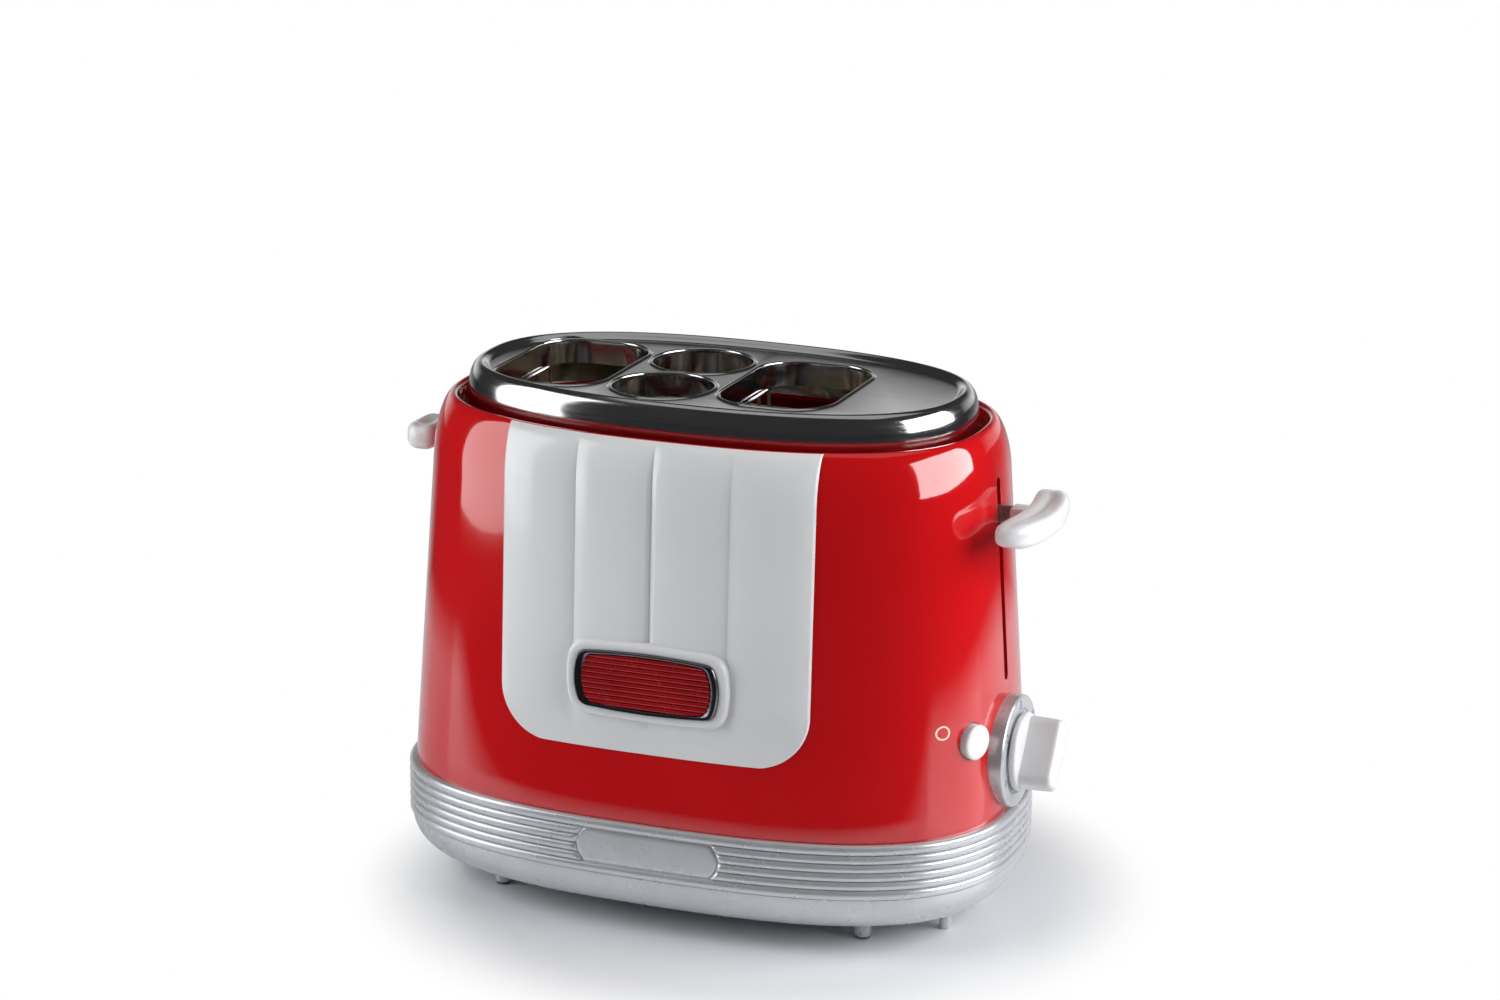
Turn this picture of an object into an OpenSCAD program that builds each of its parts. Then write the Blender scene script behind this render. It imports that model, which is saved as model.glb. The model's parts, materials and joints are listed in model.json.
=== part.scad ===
// Hot dog toaster: an oval counter-top toaster with two bun wells, two sausage wells,
// a lever at each end, a numbered dial, a stop button and a crumb tray at the back.
// Millimetres. +X runs to the dial end, +Y to the back and +Z up. The table is z = 0.

/* [Housing] */
// Length of the red housing at its foot
housing_len = 260; // [250:1:275]
// Depth of the red housing at its foot
housing_dep = 160; // [154:1:170]
// Length that the housing loses between its foot and its shoulder
housing_len_taper = 19; // [12:1:22]
// Depth that the housing loses between its foot and its shoulder
housing_dep_taper = 12; // [6:1:14]
// Height of the housing's foot
foot_z = 50; // [50:0.5:52]
// Height at which the shoulder starts to round over
shoulder_z = 190; // [188:1:194]
// Height of the rounded lip
lip_z = 209; // [208:0.5:212]
// How far the shoulder rounds inwards
shoulder_in = 5.5; // [4:0.5:6]
// Wall thickness of the housing
housing_wall = 2.5; // [2:0.1:2.8]
// Squareness of the oval plan: 2 is an ellipse
plan_power = 2.7; // [2.5:0.05:2.9]

/* [Base] */
// How far the base stands out past the housing at the ends
base_proud_x = 3; // [2:0.5:5]
// How far the base stands out past the housing at front and back
base_proud_y = 2; // [2:0.5:4]
// Height of the base's underside
base_bottom_z = 10; // [9:0.5:11]
// Height at which the ribs stop and the smooth bowl starts
bowl_z = 26.5; // [26:0.5:27.5]
// How far the bowl curves inwards
bowl_in = 17; // [14:0.5:18]
// Number of narrow ribs between the two broad ones
narrow_ribs = 4; // [3:1:5]
// Height of each of the two broad ribs
broad_rib_h = 4.3; // [3.8:0.1:4.6]
// Depth of the grooves between ribs
groove_depth = 1.5; // [1:0.1:1.8]
// Thickness of the base's floor
base_floor = 3; // [2.4:0.1:3.2]
// Thickness of the base's side wall
base_wall = 5; // [4:0.1:5]
// Width of the bare plaque on the front of the base
plaque_w = 63; // [50:1:80]
// Radius of the four main feet
foot_r = 3.6; // [3:0.1:4]
// Distance from the middle to the main feet along the length
foot_x = 81; // [70:1:84]
// Distance from the middle to the main feet along the depth
foot_y = 43; // [42:0.5:45]
// Radius of the four end posts
post_r = 3; // [2.4:0.1:3]
// Distance from the middle to the end posts along the length
post_x = 109; // [100:0.5:109]
// Distance from the middle to the end posts along the depth
post_y = 20; // [14:0.5:22]

/* [Steel top] */
// Gap between the steel top and the housing's lip at the ends
rim_gap_x = 5.45; // [4.8:0.05:8]
// Gap between the steel top and the housing's lip at front and back
rim_gap_y = 7.2; // [6.8:0.1:9]
// Height of the steel top's crest
crest_z = 221.6; // [220:0.2:224]
// How far the plate lies below the crest
plate_sink = 2.6; // [1.5:0.1:3.4]
// Thickness of the sheet steel
sheet = 1.2; // [1:0.1:1.6]
// Length of a bun well along X
bun_well_x = 49; // [46:0.5:49]
// Length of a bun well along Y
bun_well_y = 76; // [70:0.5:76]
// Corner radius of a bun well
bun_well_r = 18; // [10:0.5:20]
// Diameter of a sausage well
sausage_well_d = 42; // [38:0.5:42]
// Height of the rolled collars under the plate
collar_h = 9; // [6:0.5:9]

/* [Wells] */
// Centre of the cooking space along X
cook_x = -17; // [-19:0.5:-16]
// Distance from the cooking centre to each bun well's centre
bun_pitch = 50; // [50:0.5:51]
// Distance from the middle plane to each sausage well's centre
sausage_y = 22; // [21.5:0.5:22]
// Height of the bun cradles at rest
cradle_z = 132; // [128:1:134]
// Height of the sausage cup floors at rest
cup_z = 138; // [134:1:140]
// Outer radius of a sausage cup
cup_r = 18; // [16:0.5:18.5]
// Height of a sausage cup
cup_h = 35; // [30:1:40]

/* [Levers] */
// Height of the bun lever's middle at rest
bun_lever_z = 174; // [172:1:176]
// Height of the sausage lever's middle at rest
sausage_lever_z = 182.5; // [180:0.5:184]
// Gap between the bun lever and the housing when the lever is down
bun_lever_gap = 5.9; // [4.2:0.1:7]
// Gap between the sausage lever and the housing when the lever is down
sausage_lever_gap = 1.7; // [1.4:0.1:5]
// Width of the bun lever
bun_lever_w = 66; // [56:1:68]
// Width of the sausage lever
sausage_lever_w = 25; // [20:1:28]
// Thickness of the lever bars
lever_t = 12.5; // [10:0.5:12.5]
// Depth of the bun lever
bun_lever_d = 15.5; // [13:0.5:15.5]
// Depth of the sausage lever
sausage_lever_d = 13.5; // [11:0.5:13.5]
// Travel of the bun lever downwards
bun_travel = 65; // [60:1:65]
// Extra lift of the bun lever
bun_extra_lift = 10.5; // [8:0.5:10.5]
// Travel of the sausage lever downwards
sausage_travel = 60; // [50:1:60]
// Width of the slots that the levers run in
lever_slot_w = 4.4; // [4:0.1:5]
// Thickness of the steel lever arms
arm_t = 3; // [2.4:0.1:3.2]
// Height of the steel lever arms
arm_h = 8; // [6:0.5:9]
// Diameter of the two guide rods
rod_d = 6; // [5:0.1:6.4]

/* [Dial and button] */
// Height of the dial's centre
dial_z = 74; // [74:0.5:76]
// Diameter of the silver dial ring
dial_ring_d = 46.8; // [42:0.2:47]
// How far the dial ring stands out from the housing
dial_ring_proud = 4.4; // [4.2:0.1:5.6]
// Diameter of the knob's skirt
knob_d = 33; // [28:0.5:34]
// Thickness of the knob's skirt
knob_skirt_t = 3; // [2.5:0.1:4]
// Overall depth of the knob
knob_depth = 17; // [15:0.1:19]
// Width of the knob's grip
grip_w = 13; // [10:0.5:15]
// Angle of the grip from upright
grip_angle = 35; // [0:1:60]
// Diameter of the dial shaft
shaft_d = 6; // [5:0.1:6.4]
// Diameter of the stop button
button_d = 14.8; // [12:0.2:16]
// How far the stop button stands out
button_proud = 3.2; // [2.8:0.1:4]
// Travel of the stop button
button_travel = 2.5; // [1.5:0.1:2.6]
// Height of the stop button's centre
button_z = 87.4; // [86:0.2:90]
// Distance of the stop button towards the front
button_y = 32.5; // [30:0.5:36]

/* [Front panel and badge] */
// Width of the white front panel
panel_w = 134.8; // [124:0.2:140]
// Height of the panel's lower edge
panel_bottom_z = 80; // [76:0.5:84]
// Radius of the panel's lower corners
panel_corner_r = 22; // [14:1:26]
// How far the panel's edge stands out
panel_proud = 0.6; // [0.4:0.1:0.8]
// Number of flutes
flutes = 4; // [3:1:6]
// Height of the flutes' crowns above their creases
flute_h = 2.4; // [1:0.1:2.6]
// Height of the badge's centre
badge_z = 110.5; // [108:0.5:120]
// Width of the badge
badge_w = 63; // [50:1:70]
// Height of the badge in its middle
badge_h = 25.7; // [20:0.1:27]
// Number of ribs on the badge
badge_ribs = 10; // [6:1:12]

/* [Crumb tray] */
// Length of the crumb tray along X
tray_w = 140; // [120:1:140]
// Depth of the pan's walls
tray_h = 8; // [6:0.5:9]
// Height of the tray's underside
tray_z = 33; // [32.5:0.5:34]

/* [Hidden] */

// Colours
RED = "#c8141a";
WHITE = "#eeeeec";
SILVER = "#b9bcc0";
STEEL = "#c9ccd0";
DARK = "#33363a";
MICA = "#b79a6b";
GREEN = "#2f6b3c";

// Clearances
seat = 0.2;         // between pieces that rest in each other's slots
free = 0.4;         // round pieces that pass through a cut-out
running = 0.05;     // radial, between a shaft and its bore
slack = 3;          // between sliding pieces and the ends of their slots

// Facets
plan_steps = 64;    // points round the oval plan
round_steps = 48;   // points round a small true circle

// Levels and offsets worked out from the sizes above
plate_z = crest_z - plate_sink;
flange_z = lip_z - 10;
flange_seat = 4;
floor_z = base_bottom_z + base_floor;
rim_skirt = 13;
collar_bottom_z = plate_z - collar_h - 1;
left_x = cook_x - bun_pitch;
right_x = cook_x + bun_pitch;
chassis_left_x = left_x - bun_well_x / 2 - 5.5;
chassis_right_x = right_x + bun_well_x / 2 + 6.5;
frame_top_z = flange_z - 3;
chassis_y = 48.5;
chassis_foot_y = 36;
shield_y = 47;
shield_bottom_z = 52;
rod_bottom_z = 52;
rod_top_z = frame_top_z - 1;
bracket_t = 2;
rod_right_x = chassis_right_x + 26;
rod_left_x = chassis_left_x - 9.5;
bun_block_z = bun_lever_z - 32;
bun_block_h = 38;
sausage_block_z = sausage_lever_z - 35;
sausage_block_h = 39;
rail_h = 6;
frame_h = 6;
rim_power = 2.44;   // squareness of the steel top
rim_plate_in = 8.2; // from the rim's outside to the plate's edge
frame_y = 42;
frame_t = 2;
guard_wire = 1.5;
guard_wires = 6;
board_t = 1;
board_y = 38;
board_gap = 3.5;
board_bottom_z = 58;
board_top_z = frame_top_z;
board_face_x = 107.6;

// Half sizes of the housing at height z, before its shoulder rounds over
function housing_rise(z) = max(0, z - foot_z) / (shoulder_z - foot_z);
function housing_half_x(z) = (housing_len - housing_len_taper * housing_rise(z)) / 2;
function housing_half_y(z) = (housing_dep - housing_dep_taper * housing_rise(z)) / 2;
function shoulder_part(z) = min(1, max(0, (z - shoulder_z) / (lip_z - shoulder_z)));
function shoulder_inset(z) = shoulder_in * (1 - sqrt(1 - pow(shoulder_part(z), 2)));
function housing_power(z) = plan_power - 0.2 * shoulder_part(z);

// Reaches from the middle plane, worked out from the housing's taper
rim_half_x = housing_half_x(lip_z) - shoulder_in - rim_gap_x;
rim_half_y = housing_half_y(lip_z) - shoulder_in - rim_gap_y;
bar_inner_bun = housing_half_x(bun_lever_z - bun_travel) + bun_lever_gap;
bar_inner_sausage = housing_half_x(sausage_lever_z - sausage_travel) + sausage_lever_gap;
dial_face_x = housing_half_x(dial_z) + dial_ring_proud;
knob_face_x = dial_face_x + 0.4;
knob_reach = knob_face_x + knob_depth;
bench_x = (knob_reach - bar_inner_sausage - sausage_lever_d) / 2;

// Points of an oval with half sizes a and b at height z
function oval_coord(size, unit, power) = size * sign(unit) * pow(abs(unit), 2 / power);
function oval(a, b, power, z) =
    [for (i = [0 : plan_steps - 1])
        let (t = 360 * i / plan_steps)
        [oval_coord(a, cos(t), power), oval_coord(b, sin(t), power), z]];
function housing_oval(z, inset) =
    oval(housing_half_x(z) - inset, housing_half_y(z) - inset, housing_power(z), z);
function base_oval(z, inset) =
    oval(housing_len / 2 + base_proud_x - inset, housing_dep / 2 + base_proud_y - inset,
        plan_power, z);
function rim_oval(z, inset) = oval(rim_half_x - inset, rim_half_y - inset, rim_power, z);

// Distance from the middle plane to the housing's front at x and z
function housing_front(x, z, inset) =
    (housing_half_y(z) - inset)
    * pow(1 - pow(abs(x) / (housing_half_x(z) - inset), housing_power(z)), 1 / housing_power(z));
// Distance from the middle plane to the housing's end at y and z
function housing_end(y, z, inset) =
    (housing_half_x(z) - inset)
    * pow(1 - pow(abs(y) / (housing_half_y(z) - inset), housing_power(z)), 1 / housing_power(z));

// Puts the origin under the middle of the whole toaster, levers and knob included
module on_bench() {
    translate([-bench_x, 0, 0]) children();
}

// A closed tube of rings: the last ring joins the first
module ring_loop(rings) {
    count = len(rings);
    steps = len(rings[0]);
    faces = [for (k = [0 : count - 1], i = [0 : steps - 1])
        let (a = k * steps + i,
             b = k * steps + (i + 1) % steps,
             c = ((k + 1) % count) * steps + (i + 1) % steps,
             d = ((k + 1) % count) * steps + i)
        each [[a, c, b], [a, d, c]]];
    polyhedron([for (ring = rings) each ring], faces);
}

// A stack of rings from the bottom up, closed by a flat face at each end
module ring_stack(rings) {
    count = len(rings);
    steps = len(rings[0]);
    sides = [for (k = [0 : count - 2], i = [0 : steps - 1])
        let (a = k * steps + i,
             b = k * steps + (i + 1) % steps,
             c = (k + 1) * steps + (i + 1) % steps,
             d = (k + 1) * steps + i)
        each [[a, c, b], [a, d, c]]];
    bottom = [for (i = [0 : steps - 1]) i];
    top = [for (i = [steps - 1 : -1 : 0]) (count - 1) * steps + i];
    polyhedron([for (ring = rings) each ring], concat(sides, [bottom], [top]));
}

// A box given by its low and high corners
module block(low, high) {
    translate(low) cube(high - low);
}

// A rod along X, Y or Z between two places on its axis
module rod_x(r, x0, x1, y, z) {
    translate([x0, y, z]) rotate([0, 90, 0]) cylinder(r = r, h = x1 - x0, $fn = round_steps);
}
module rod_y(r, y0, y1, x, z) {
    translate([x, y0, z]) rotate([-90, 0, 0]) cylinder(r = r, h = y1 - y0, $fn = round_steps);
}
module rod_z(r, z0, z1, x, y) {
    translate([x, y, z0]) cylinder(r = r, h = z1 - z0, $fn = round_steps);
}

// A rectangle with round corners, centred
module round_rect(w, h, r) {
    square([w - 2 * r, h], center = true);
    square([w, h - 2 * r], center = true);
    for (sx = [-1, 1], sy = [-1, 1])
        translate([sx * (w / 2 - r), sy * (h / 2 - r)]) circle(r = r, $fn = round_steps);
}

// A rectangle whose ends bow outwards in arcs, centred
module bowed_rect(w, h, bow) {
    r = (h * h / 4 + bow * bow) / (2 * bow);
    square([w - 2 * bow, h], center = true);
    for (side = [-1, 1]) intersection() {
        translate([side * (w / 2 - r), 0]) circle(r = r, $fn = 4 * round_steps);
        translate([side * (w / 2 - bow), 0]) square([2 * bow + 2, h], center = true);
    }
}

// The same with its top and bottom arched by crown
module barrel(w, h, bow, crown) {
    r = (w * w / 4 + crown * crown) / (2 * crown);
    intersection() {
        bowed_rect(w, h, bow);
        translate([0, r - h / 2]) circle(r = r, $fn = 4 * round_steps);
        translate([0, h / 2 - r]) circle(r = r, $fn = 4 * round_steps);
    }
}

// Extrudes a flat shape in X and Z through the front, from y0 back to y1
module through_front(y0, y1) {
    translate([0, y1, 0]) rotate([90, 0, 0]) linear_extrude(height = y1 - y0) children();
}

// A wound wire: turns of radius r from z0 to z1 round the axis at x
module coil(x, r, wire_r, turns, z0, z1) {
    ring_n = 8;
    side_n = 6;
    steps = turns * ring_n;
    rise = (z1 - z0 - 2 * wire_r) / steps;
    tilt = atan(rise * ring_n / (2 * PI * r));
    points = [for (i = [0 : steps], j = [0 : side_n - 1])
        let (a = 360 * i / ring_n,
             s = 360 * j / side_n,
             out = r + wire_r * cos(s),
             up = wire_r * sin(s))
        [x + out * cos(a) + up * sin(tilt) * sin(a),
         out * sin(a) - up * sin(tilt) * cos(a),
         z0 + wire_r + rise * i + up * cos(tilt)]];
    sides = [for (i = [0 : steps - 1], j = [0 : side_n - 1])
        let (a = i * side_n + j,
             b = i * side_n + (j + 1) % side_n,
             c = (i + 1) * side_n + (j + 1) % side_n,
             d = (i + 1) * side_n + j)
        each [[a, b, c], [a, c, d]]];
    first = [for (j = [side_n - 1 : -1 : 0]) j];
    last = [for (j = [0 : side_n - 1]) steps * side_n + j];
    polyhedron(points, concat(sides, [first], [last]));
    echo(least_gap_between_turns = rise * ring_n - 2 * wire_r);
}

// ---- Casing ----

// Slot that a lever arm runs in: side is 1 at the dial end and -1 at the other
module lever_slot(side, low_z, high_z) {
    x0 = side > 0 ? housing_half_x(high_z) - 14 : -housing_half_x(low_z) - 4;
    x1 = side > 0 ? housing_half_x(low_z) + 4 : -housing_half_x(high_z) + 14;
    r = lever_slot_w / 2;
    block([x0, -r, low_z + r], [x1, r, high_z - r]);
    rod_x(r, x0, x1, 0, low_z + r);
    rod_x(r, x0, x1, 0, high_z - r);
}

module place_button() {
    end_x = housing_end(button_y, button_z, 0);
    translate([end_x, -button_y, button_z]) rotate([0, 0, -button_turn()]) rotate([0, 90, 0])
        children();
}
function button_turn() =
    let (x = housing_end(button_y, button_z, 0),
         a = housing_half_x(button_z),
         b = housing_half_y(button_z))
    atan2(pow(button_y, plan_power - 1) / pow(b, plan_power),
        pow(x, plan_power - 1) / pow(a, plan_power));

module housing() {
    flange_inset = housing_half_x(flange_z) - rim_half_x + flange_seat;
    outer = [for (z = [foot_z, foot_z + 50, foot_z + 95, shoulder_z, shoulder_z + 5,
            shoulder_z + 9, shoulder_z + 12.5, shoulder_z + 15.5, lip_z - 1.6, lip_z - 0.5])
        housing_oval(z, shoulder_inset(z))];
    lip = [housing_oval(lip_z, shoulder_in + 0.2), housing_oval(lip_z - 0.4, shoulder_in + 1.4),
        housing_oval(lip_z - 1.6, shoulder_in + 1.9)];
    inner = [housing_oval(flange_z, shoulder_in + 2), housing_oval(flange_z, flange_inset),
        housing_oval(flange_z - 2, flange_inset),
        housing_oval(flange_z - 2, housing_wall + shoulder_inset(flange_z - 2)),
        housing_oval(shoulder_z, housing_wall), housing_oval(foot_z, housing_wall)];
    on_bench() color(RED) difference() {
        ring_loop(concat(outer, lip, inner));
        lever_slot(1, bun_lever_z - arm_h / 2 - bun_travel - 1,
            bun_lever_z + arm_h / 2 + bun_extra_lift + 1);
        lever_slot(-1, sausage_lever_z - arm_h / 2 - sausage_travel - 1,
            sausage_lever_z + arm_h / 2 + 1);
        rod_x(shaft_d / 2 + 2, housing_half_x(dial_z) - 12, housing_half_x(dial_z) + 4, 0, dial_z);
        place_button() translate([0, 0, -9]) cylinder(r = button_d / 2 + free, h = 14,
            $fn = round_steps);
    }
}

// Height of the panel's surface above the housing at x and z
function flute_fade(z) =
    min(1, max(0, (z - panel_bottom_z - 4) / 22)) * min(1, max(0, (lip_z - 1 - z) / 14));
function flute_crown(x) =
    let (u = (x / panel_w + 0.5) * flutes, part = u - floor(u))
    4 * part * (1 - part);
function panel_height(x, z) = panel_proud + flute_h * flute_fade(z) * flute_crown(x);

// The panel's rows of points, from the lower edge to the lip
function panel_point(x, z, height) =
    [x, -housing_front(x, z, shoulder_inset(z)) - height, z];

module panel_sheet() {
    columns = flutes * 8;
    levels = concat([for (k = [0 : 8]) panel_bottom_z + (shoulder_z - panel_bottom_z) * k / 8],
        [shoulder_z + 5, shoulder_z + 9, shoulder_z + 12.5, shoulder_z + 15.5, lip_z - 1.6]);
    rows = len(levels);
    row_len = columns + 1;
    grid = rows * row_len;
    xs = [for (i = [0 : columns]) panel_w * (i / columns - 0.5)];
    outer = [for (z = levels, x = xs) panel_point(x, z, panel_height(x, z))];
    inner = [for (z = levels, x = xs) panel_point(x, z, 0.02)];
    skin = [for (k = [0 : rows - 2], i = [0 : columns - 1])
        let (a = k * row_len + i)
        each [[a, a + row_len, a + 1], [a + 1, a + row_len, a + row_len + 1]]];
    back = [for (face = skin) [face[0] + grid, face[2] + grid, face[1] + grid]];
    low = [for (i = [0 : columns - 1]) each [[i, i + 1, grid + i], [i + 1, grid + i + 1, grid + i]]];
    last = (rows - 1) * row_len;
    high = [for (i = [0 : columns - 1]) let (a = last + i)
        each [[a, grid + a, a + 1], [a + 1, grid + a, grid + a + 1]]];
    left = [for (k = [0 : rows - 2]) let (a = k * row_len, b = a + row_len)
        each [[a, grid + a, b], [b, grid + a, grid + b]]];
    right = [for (k = [0 : rows - 2]) let (a = k * row_len + columns, b = a + row_len)
        each [[a, b, grid + a], [b, grid + b, grid + a]]];
    polyhedron(concat(outer, inner), concat(skin, back, low, high, left, right));
}

module panel_outline() {
    r = panel_corner_r;
    high = lip_z + 10;
    translate([-panel_w / 2, panel_bottom_z + r]) square([panel_w, high - panel_bottom_z - r]);
    translate([-panel_w / 2 + r, panel_bottom_z]) square([panel_w - 2 * r, r]);
    for (side = [-1, 1]) translate([side * (panel_w / 2 - r), panel_bottom_z + r])
        circle(r = r, $fn = 2 * round_steps);
}

// Flat white pad that the badge stands on, just clear of the flutes' crowns
pad_face_y = housing_front(0, badge_z, 0) + panel_proud + flute_h + 0.6;
badge_back_y = pad_face_y - 2.2;
badge_bow = 2.6;
badge_crown = 1.6;
badge_rim_w = 3.5;
badge_rim_h = 1.7;

// A block with the badge's outline from y_out back to y_back, shrunk by a rim
module badge_block(y_out, y_back, rim_w, rim_h) {
    through_front(-y_out, -y_back) translate([0, badge_z])
        barrel(badge_w - 2 * rim_w, badge_h - 2 * rim_h, badge_bow, badge_crown);
}

module front_panel() {
    on_bench() color(WHITE) difference() {
        union() {
            intersection() {
                panel_sheet();
                through_front(-housing_dep, 0) panel_outline();
            }
            badge_pad();
        }
        badge_block(housing_dep, badge_back_y, -0.05, -0.05);
    }
}

module badge_pad() {
    difference() {
        badge_block(pad_face_y, pad_face_y - 6, -3.3, -3.3);
        ring_stack([for (z = [badge_z - 30, badge_z + 30]) housing_oval(z, -0.02)]);
    }
}

module badge_frame() {
    on_bench() color(DARK) difference() {
        badge_block(pad_face_y + 1.1, badge_back_y, 0, 0);
        badge_block(housing_dep, badge_back_y - 1, badge_rim_w, badge_rim_h);
    }
}

module badge_insert() {
    inner_h = badge_h - 2 * badge_rim_h - 0.2;
    pitch = inner_h / badge_ribs;
    on_bench() color("#a50f14") intersection() {
        badge_block(pad_face_y + 0.7, badge_back_y, badge_rim_w + 0.1, badge_rim_h + 0.1);
        union() {
            badge_block(pad_face_y - 0.4, badge_back_y, 0, 0);
            for (k = [0 : badge_ribs - 1])
                rod_x(pitch * 0.55, -badge_w / 2, badge_w / 2, -pad_face_y + 0.5,
                    badge_z - inner_h / 2 + pitch * (k + 0.5));
        }
    }
}

// Skirt, crest and roll of the steel top
module top_rim() {
    outer = [rim_oval(flange_z, 0), rim_oval(flange_z + rim_skirt, 0),
        rim_oval(crest_z - 4.6, 0.6), rim_oval(crest_z - 1.6, 2), rim_oval(crest_z - 0.3, 3.6),
        rim_oval(crest_z, 5), rim_oval(crest_z - 0.5, 6.6), rim_oval(plate_z, rim_plate_in)];
    inner = [rim_oval(plate_z - sheet, rim_plate_in), rim_oval(plate_z - sheet, 6),
        rim_oval(plate_z - sheet - 1.6, sheet + 2), rim_oval(flange_z + rim_skirt, sheet),
        rim_oval(flange_z, sheet)];
    on_bench() color(STEEL) difference() {
        ring_loop(concat(outer, inner));
        well_prism(sheet + running, flange_z, crest_z + 1);
    }
}

module top_plate() {
    on_bench() color(STEEL) difference() {
        ring_stack([for (z = [plate_z - sheet, plate_z]) rim_oval(z, rim_plate_in + running)]);
        well_prism(sheet + running, plate_z - sheet - 1, plate_z + 1);
    }
}

// A sheet collar inside each well
module well_collars() {
    on_bench() color(STEEL) difference() {
        well_prism(sheet, collar_bottom_z, plate_z + 0.7);
        well_prism(0, collar_bottom_z - 1, crest_z);
    }
}

// The four wells as a flat shape grown outwards by extra
module well_shapes(extra) {
    for (x = [left_x, right_x]) translate([x, 0])
        round_rect(bun_well_x + 2 * extra, bun_well_y + 2 * extra, bun_well_r + extra);
    for (side = [-1, 1]) translate([cook_x, side * sausage_y])
        circle(r = sausage_well_d / 2 + extra, $fn = 2 * round_steps);
}

// The four wells from z0 to z1, grown outwards by extra
module well_prism(extra, z0, z1) {
    translate([0, 0, z0]) linear_extrude(height = z1 - z0) well_shapes(extra);
}

// ---- Base ----

// Heights of the joints between ribs, from the top down
narrow_rib_h = (foot_z - bowl_z - 2 * broad_rib_h) / narrow_ribs;
rib_tops = concat([foot_z], [for (k = [0 : narrow_ribs]) foot_z - broad_rib_h - k * narrow_rib_h]);
plaque_top_z = foot_z - broad_rib_h;
plaque_bottom_z = bowl_z + broad_rib_h;

function rib_bottom(k) = k < narrow_ribs + 1 ? rib_tops[k + 1] : bowl_z;
function rib_rows(k) =
    [for (part = [0, 0.3, 0.7])
        let (top = rib_tops[k])
        [top - part * (top - rib_bottom(k)), groove_depth * pow(abs(2 * part - 1), 2)]];
function base_profile() = concat([for (k = [0 : narrow_ribs + 1]) each rib_rows(k)],
    [for (turn = [0 : 18 : 90]) [bowl_z - (bowl_z - base_bottom_z) * sin(turn),
        groove_depth - 0.4 + bowl_in * (1 - cos(turn))]]);

module base_slice(inset_out, inset_in, z0, z1) {
    difference() {
        ring_stack([base_oval(z0, inset_out), base_oval(z1, inset_out)]);
        ring_stack([base_oval(z0 - 1, inset_in), base_oval(z1 + 1, inset_in)]);
    }
}

module plaque_shape(clearance) {
    h = plaque_top_z - plaque_bottom_z - 2 * clearance;
    through_front(-housing_dep, 0) translate([0, (plaque_top_z + plaque_bottom_z) / 2])
        bowed_rect(plaque_w - 2 * clearance, h, 3.4);
}

cover_inset = 32;

module base_shell() {
    floor_rows = [[base_bottom_z, cover_inset], [floor_z, cover_inset],
        [floor_z, bowl_in + base_wall - 2], [floor_z + 5, base_wall + 5],
        [bowl_z, base_wall], [foot_z, base_wall]];
    rows = concat(base_profile(), floor_rows);
    on_bench() color(SILVER) difference() {
        ring_loop([for (k = [len(rows) - 1 : -1 : 0]) base_oval(rows[k][0], rows[k][1])]);
        intersection() {
            base_slice(-1, groove_depth + 1.2, plaque_bottom_z - 1, plaque_top_z + 1);
            plaque_shape(0);
        }
        block([tray_left_x - free, 0, tray_z - free],
            [tray_right_x + free, housing_dep, tray_top_z + free]);
        translate([gland_x, housing_dep / 2, gland_z]) rotate([90, 0, 0])
            cylinder(r = gland_r, h = 20, $fn = round_steps);
    }
}

module base_plaque() {
    on_bench() color(STEEL) intersection() {
        base_slice(groove_depth, groove_depth + 1.2, plaque_bottom_z - 1, plaque_top_z + 1);
        plaque_shape(0.05);
    }
}

module bottom_cover() {
    vent_y = 17;
    on_bench() color(DARK) difference() {
        ring_stack([base_oval(base_bottom_z, cover_inset + seat),
            base_oval(floor_z, cover_inset + seat)]);
        for (k = [-6 : 6], side = [-1, 1])
            block([k * 11 - 2, side * vent_y - 12, base_bottom_z - 1],
                [k * 11 + 2, side * vent_y + 12, floor_z + 1]);
    }
}

module feet() {
    on_bench() color(SILVER) for (sx = [-1, 1], sy = [-1, 1])
        translate([sx * foot_x, sy * foot_y, 0]) rotate_extrude($fn = round_steps)
            polygon([[0, 0], [foot_r - 0.8, 0], [foot_r - 0.3, 0.6], [foot_r, base_bottom_z],
                [0, base_bottom_z]]);
}

module end_posts() {
    on_bench() color(SILVER) for (sx = [-1, 1], sy = [-1, 1])
        translate([sx * post_x, sy * post_y, 0]) rotate_extrude($fn = round_steps)
            polygon([[0, 0], [post_r - 1, 0], [post_r - 0.6, 0.6], [post_r, base_bottom_z],
                [0, base_bottom_z]]);
}

// Screws that hold the bottom cover, one solid each
module cover_screws() {
    screw_y = 36;
    on_bench() color(STEEL) for (sx = [-1, 1], sy = [-1, 1])
        translate([sx * 58, sy * screw_y, base_bottom_z - 1.6]) difference() {
            cylinder(r = 3, h = 1.6, $fn = round_steps);
            for (turn = [0, 90]) rotate([0, 0, turn]) translate([-1.8, -0.4, -1])
                cube([3.6, 0.8, 2]);
        }
}

// ---- Frame inside ----

// Steel plate across the toaster, with a foot flange on the base's floor
module chassis_plate(x) {
    foot_top_z = floor_z + 8;
    block([x, -chassis_foot_y, floor_z], [x + sheet, chassis_foot_y, foot_top_z]);
    block([x, -chassis_y, foot_top_z], [x + sheet, chassis_y, frame_top_z]);
    block([x, -chassis_foot_y, floor_z], [x + 8 + sheet, chassis_foot_y, floor_z + 2]);
}

// Shelf that holds a guide rod's end
module rod_bracket(plate_x, rod_x_pos, side, z) {
    x0 = side > 0 ? plate_x : rod_x_pos - 7;
    x1 = side > 0 ? rod_x_pos + 7 : plate_x + sheet;
    block([x0, -9, z], [x1, 24, z + bracket_t]);
}

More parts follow.
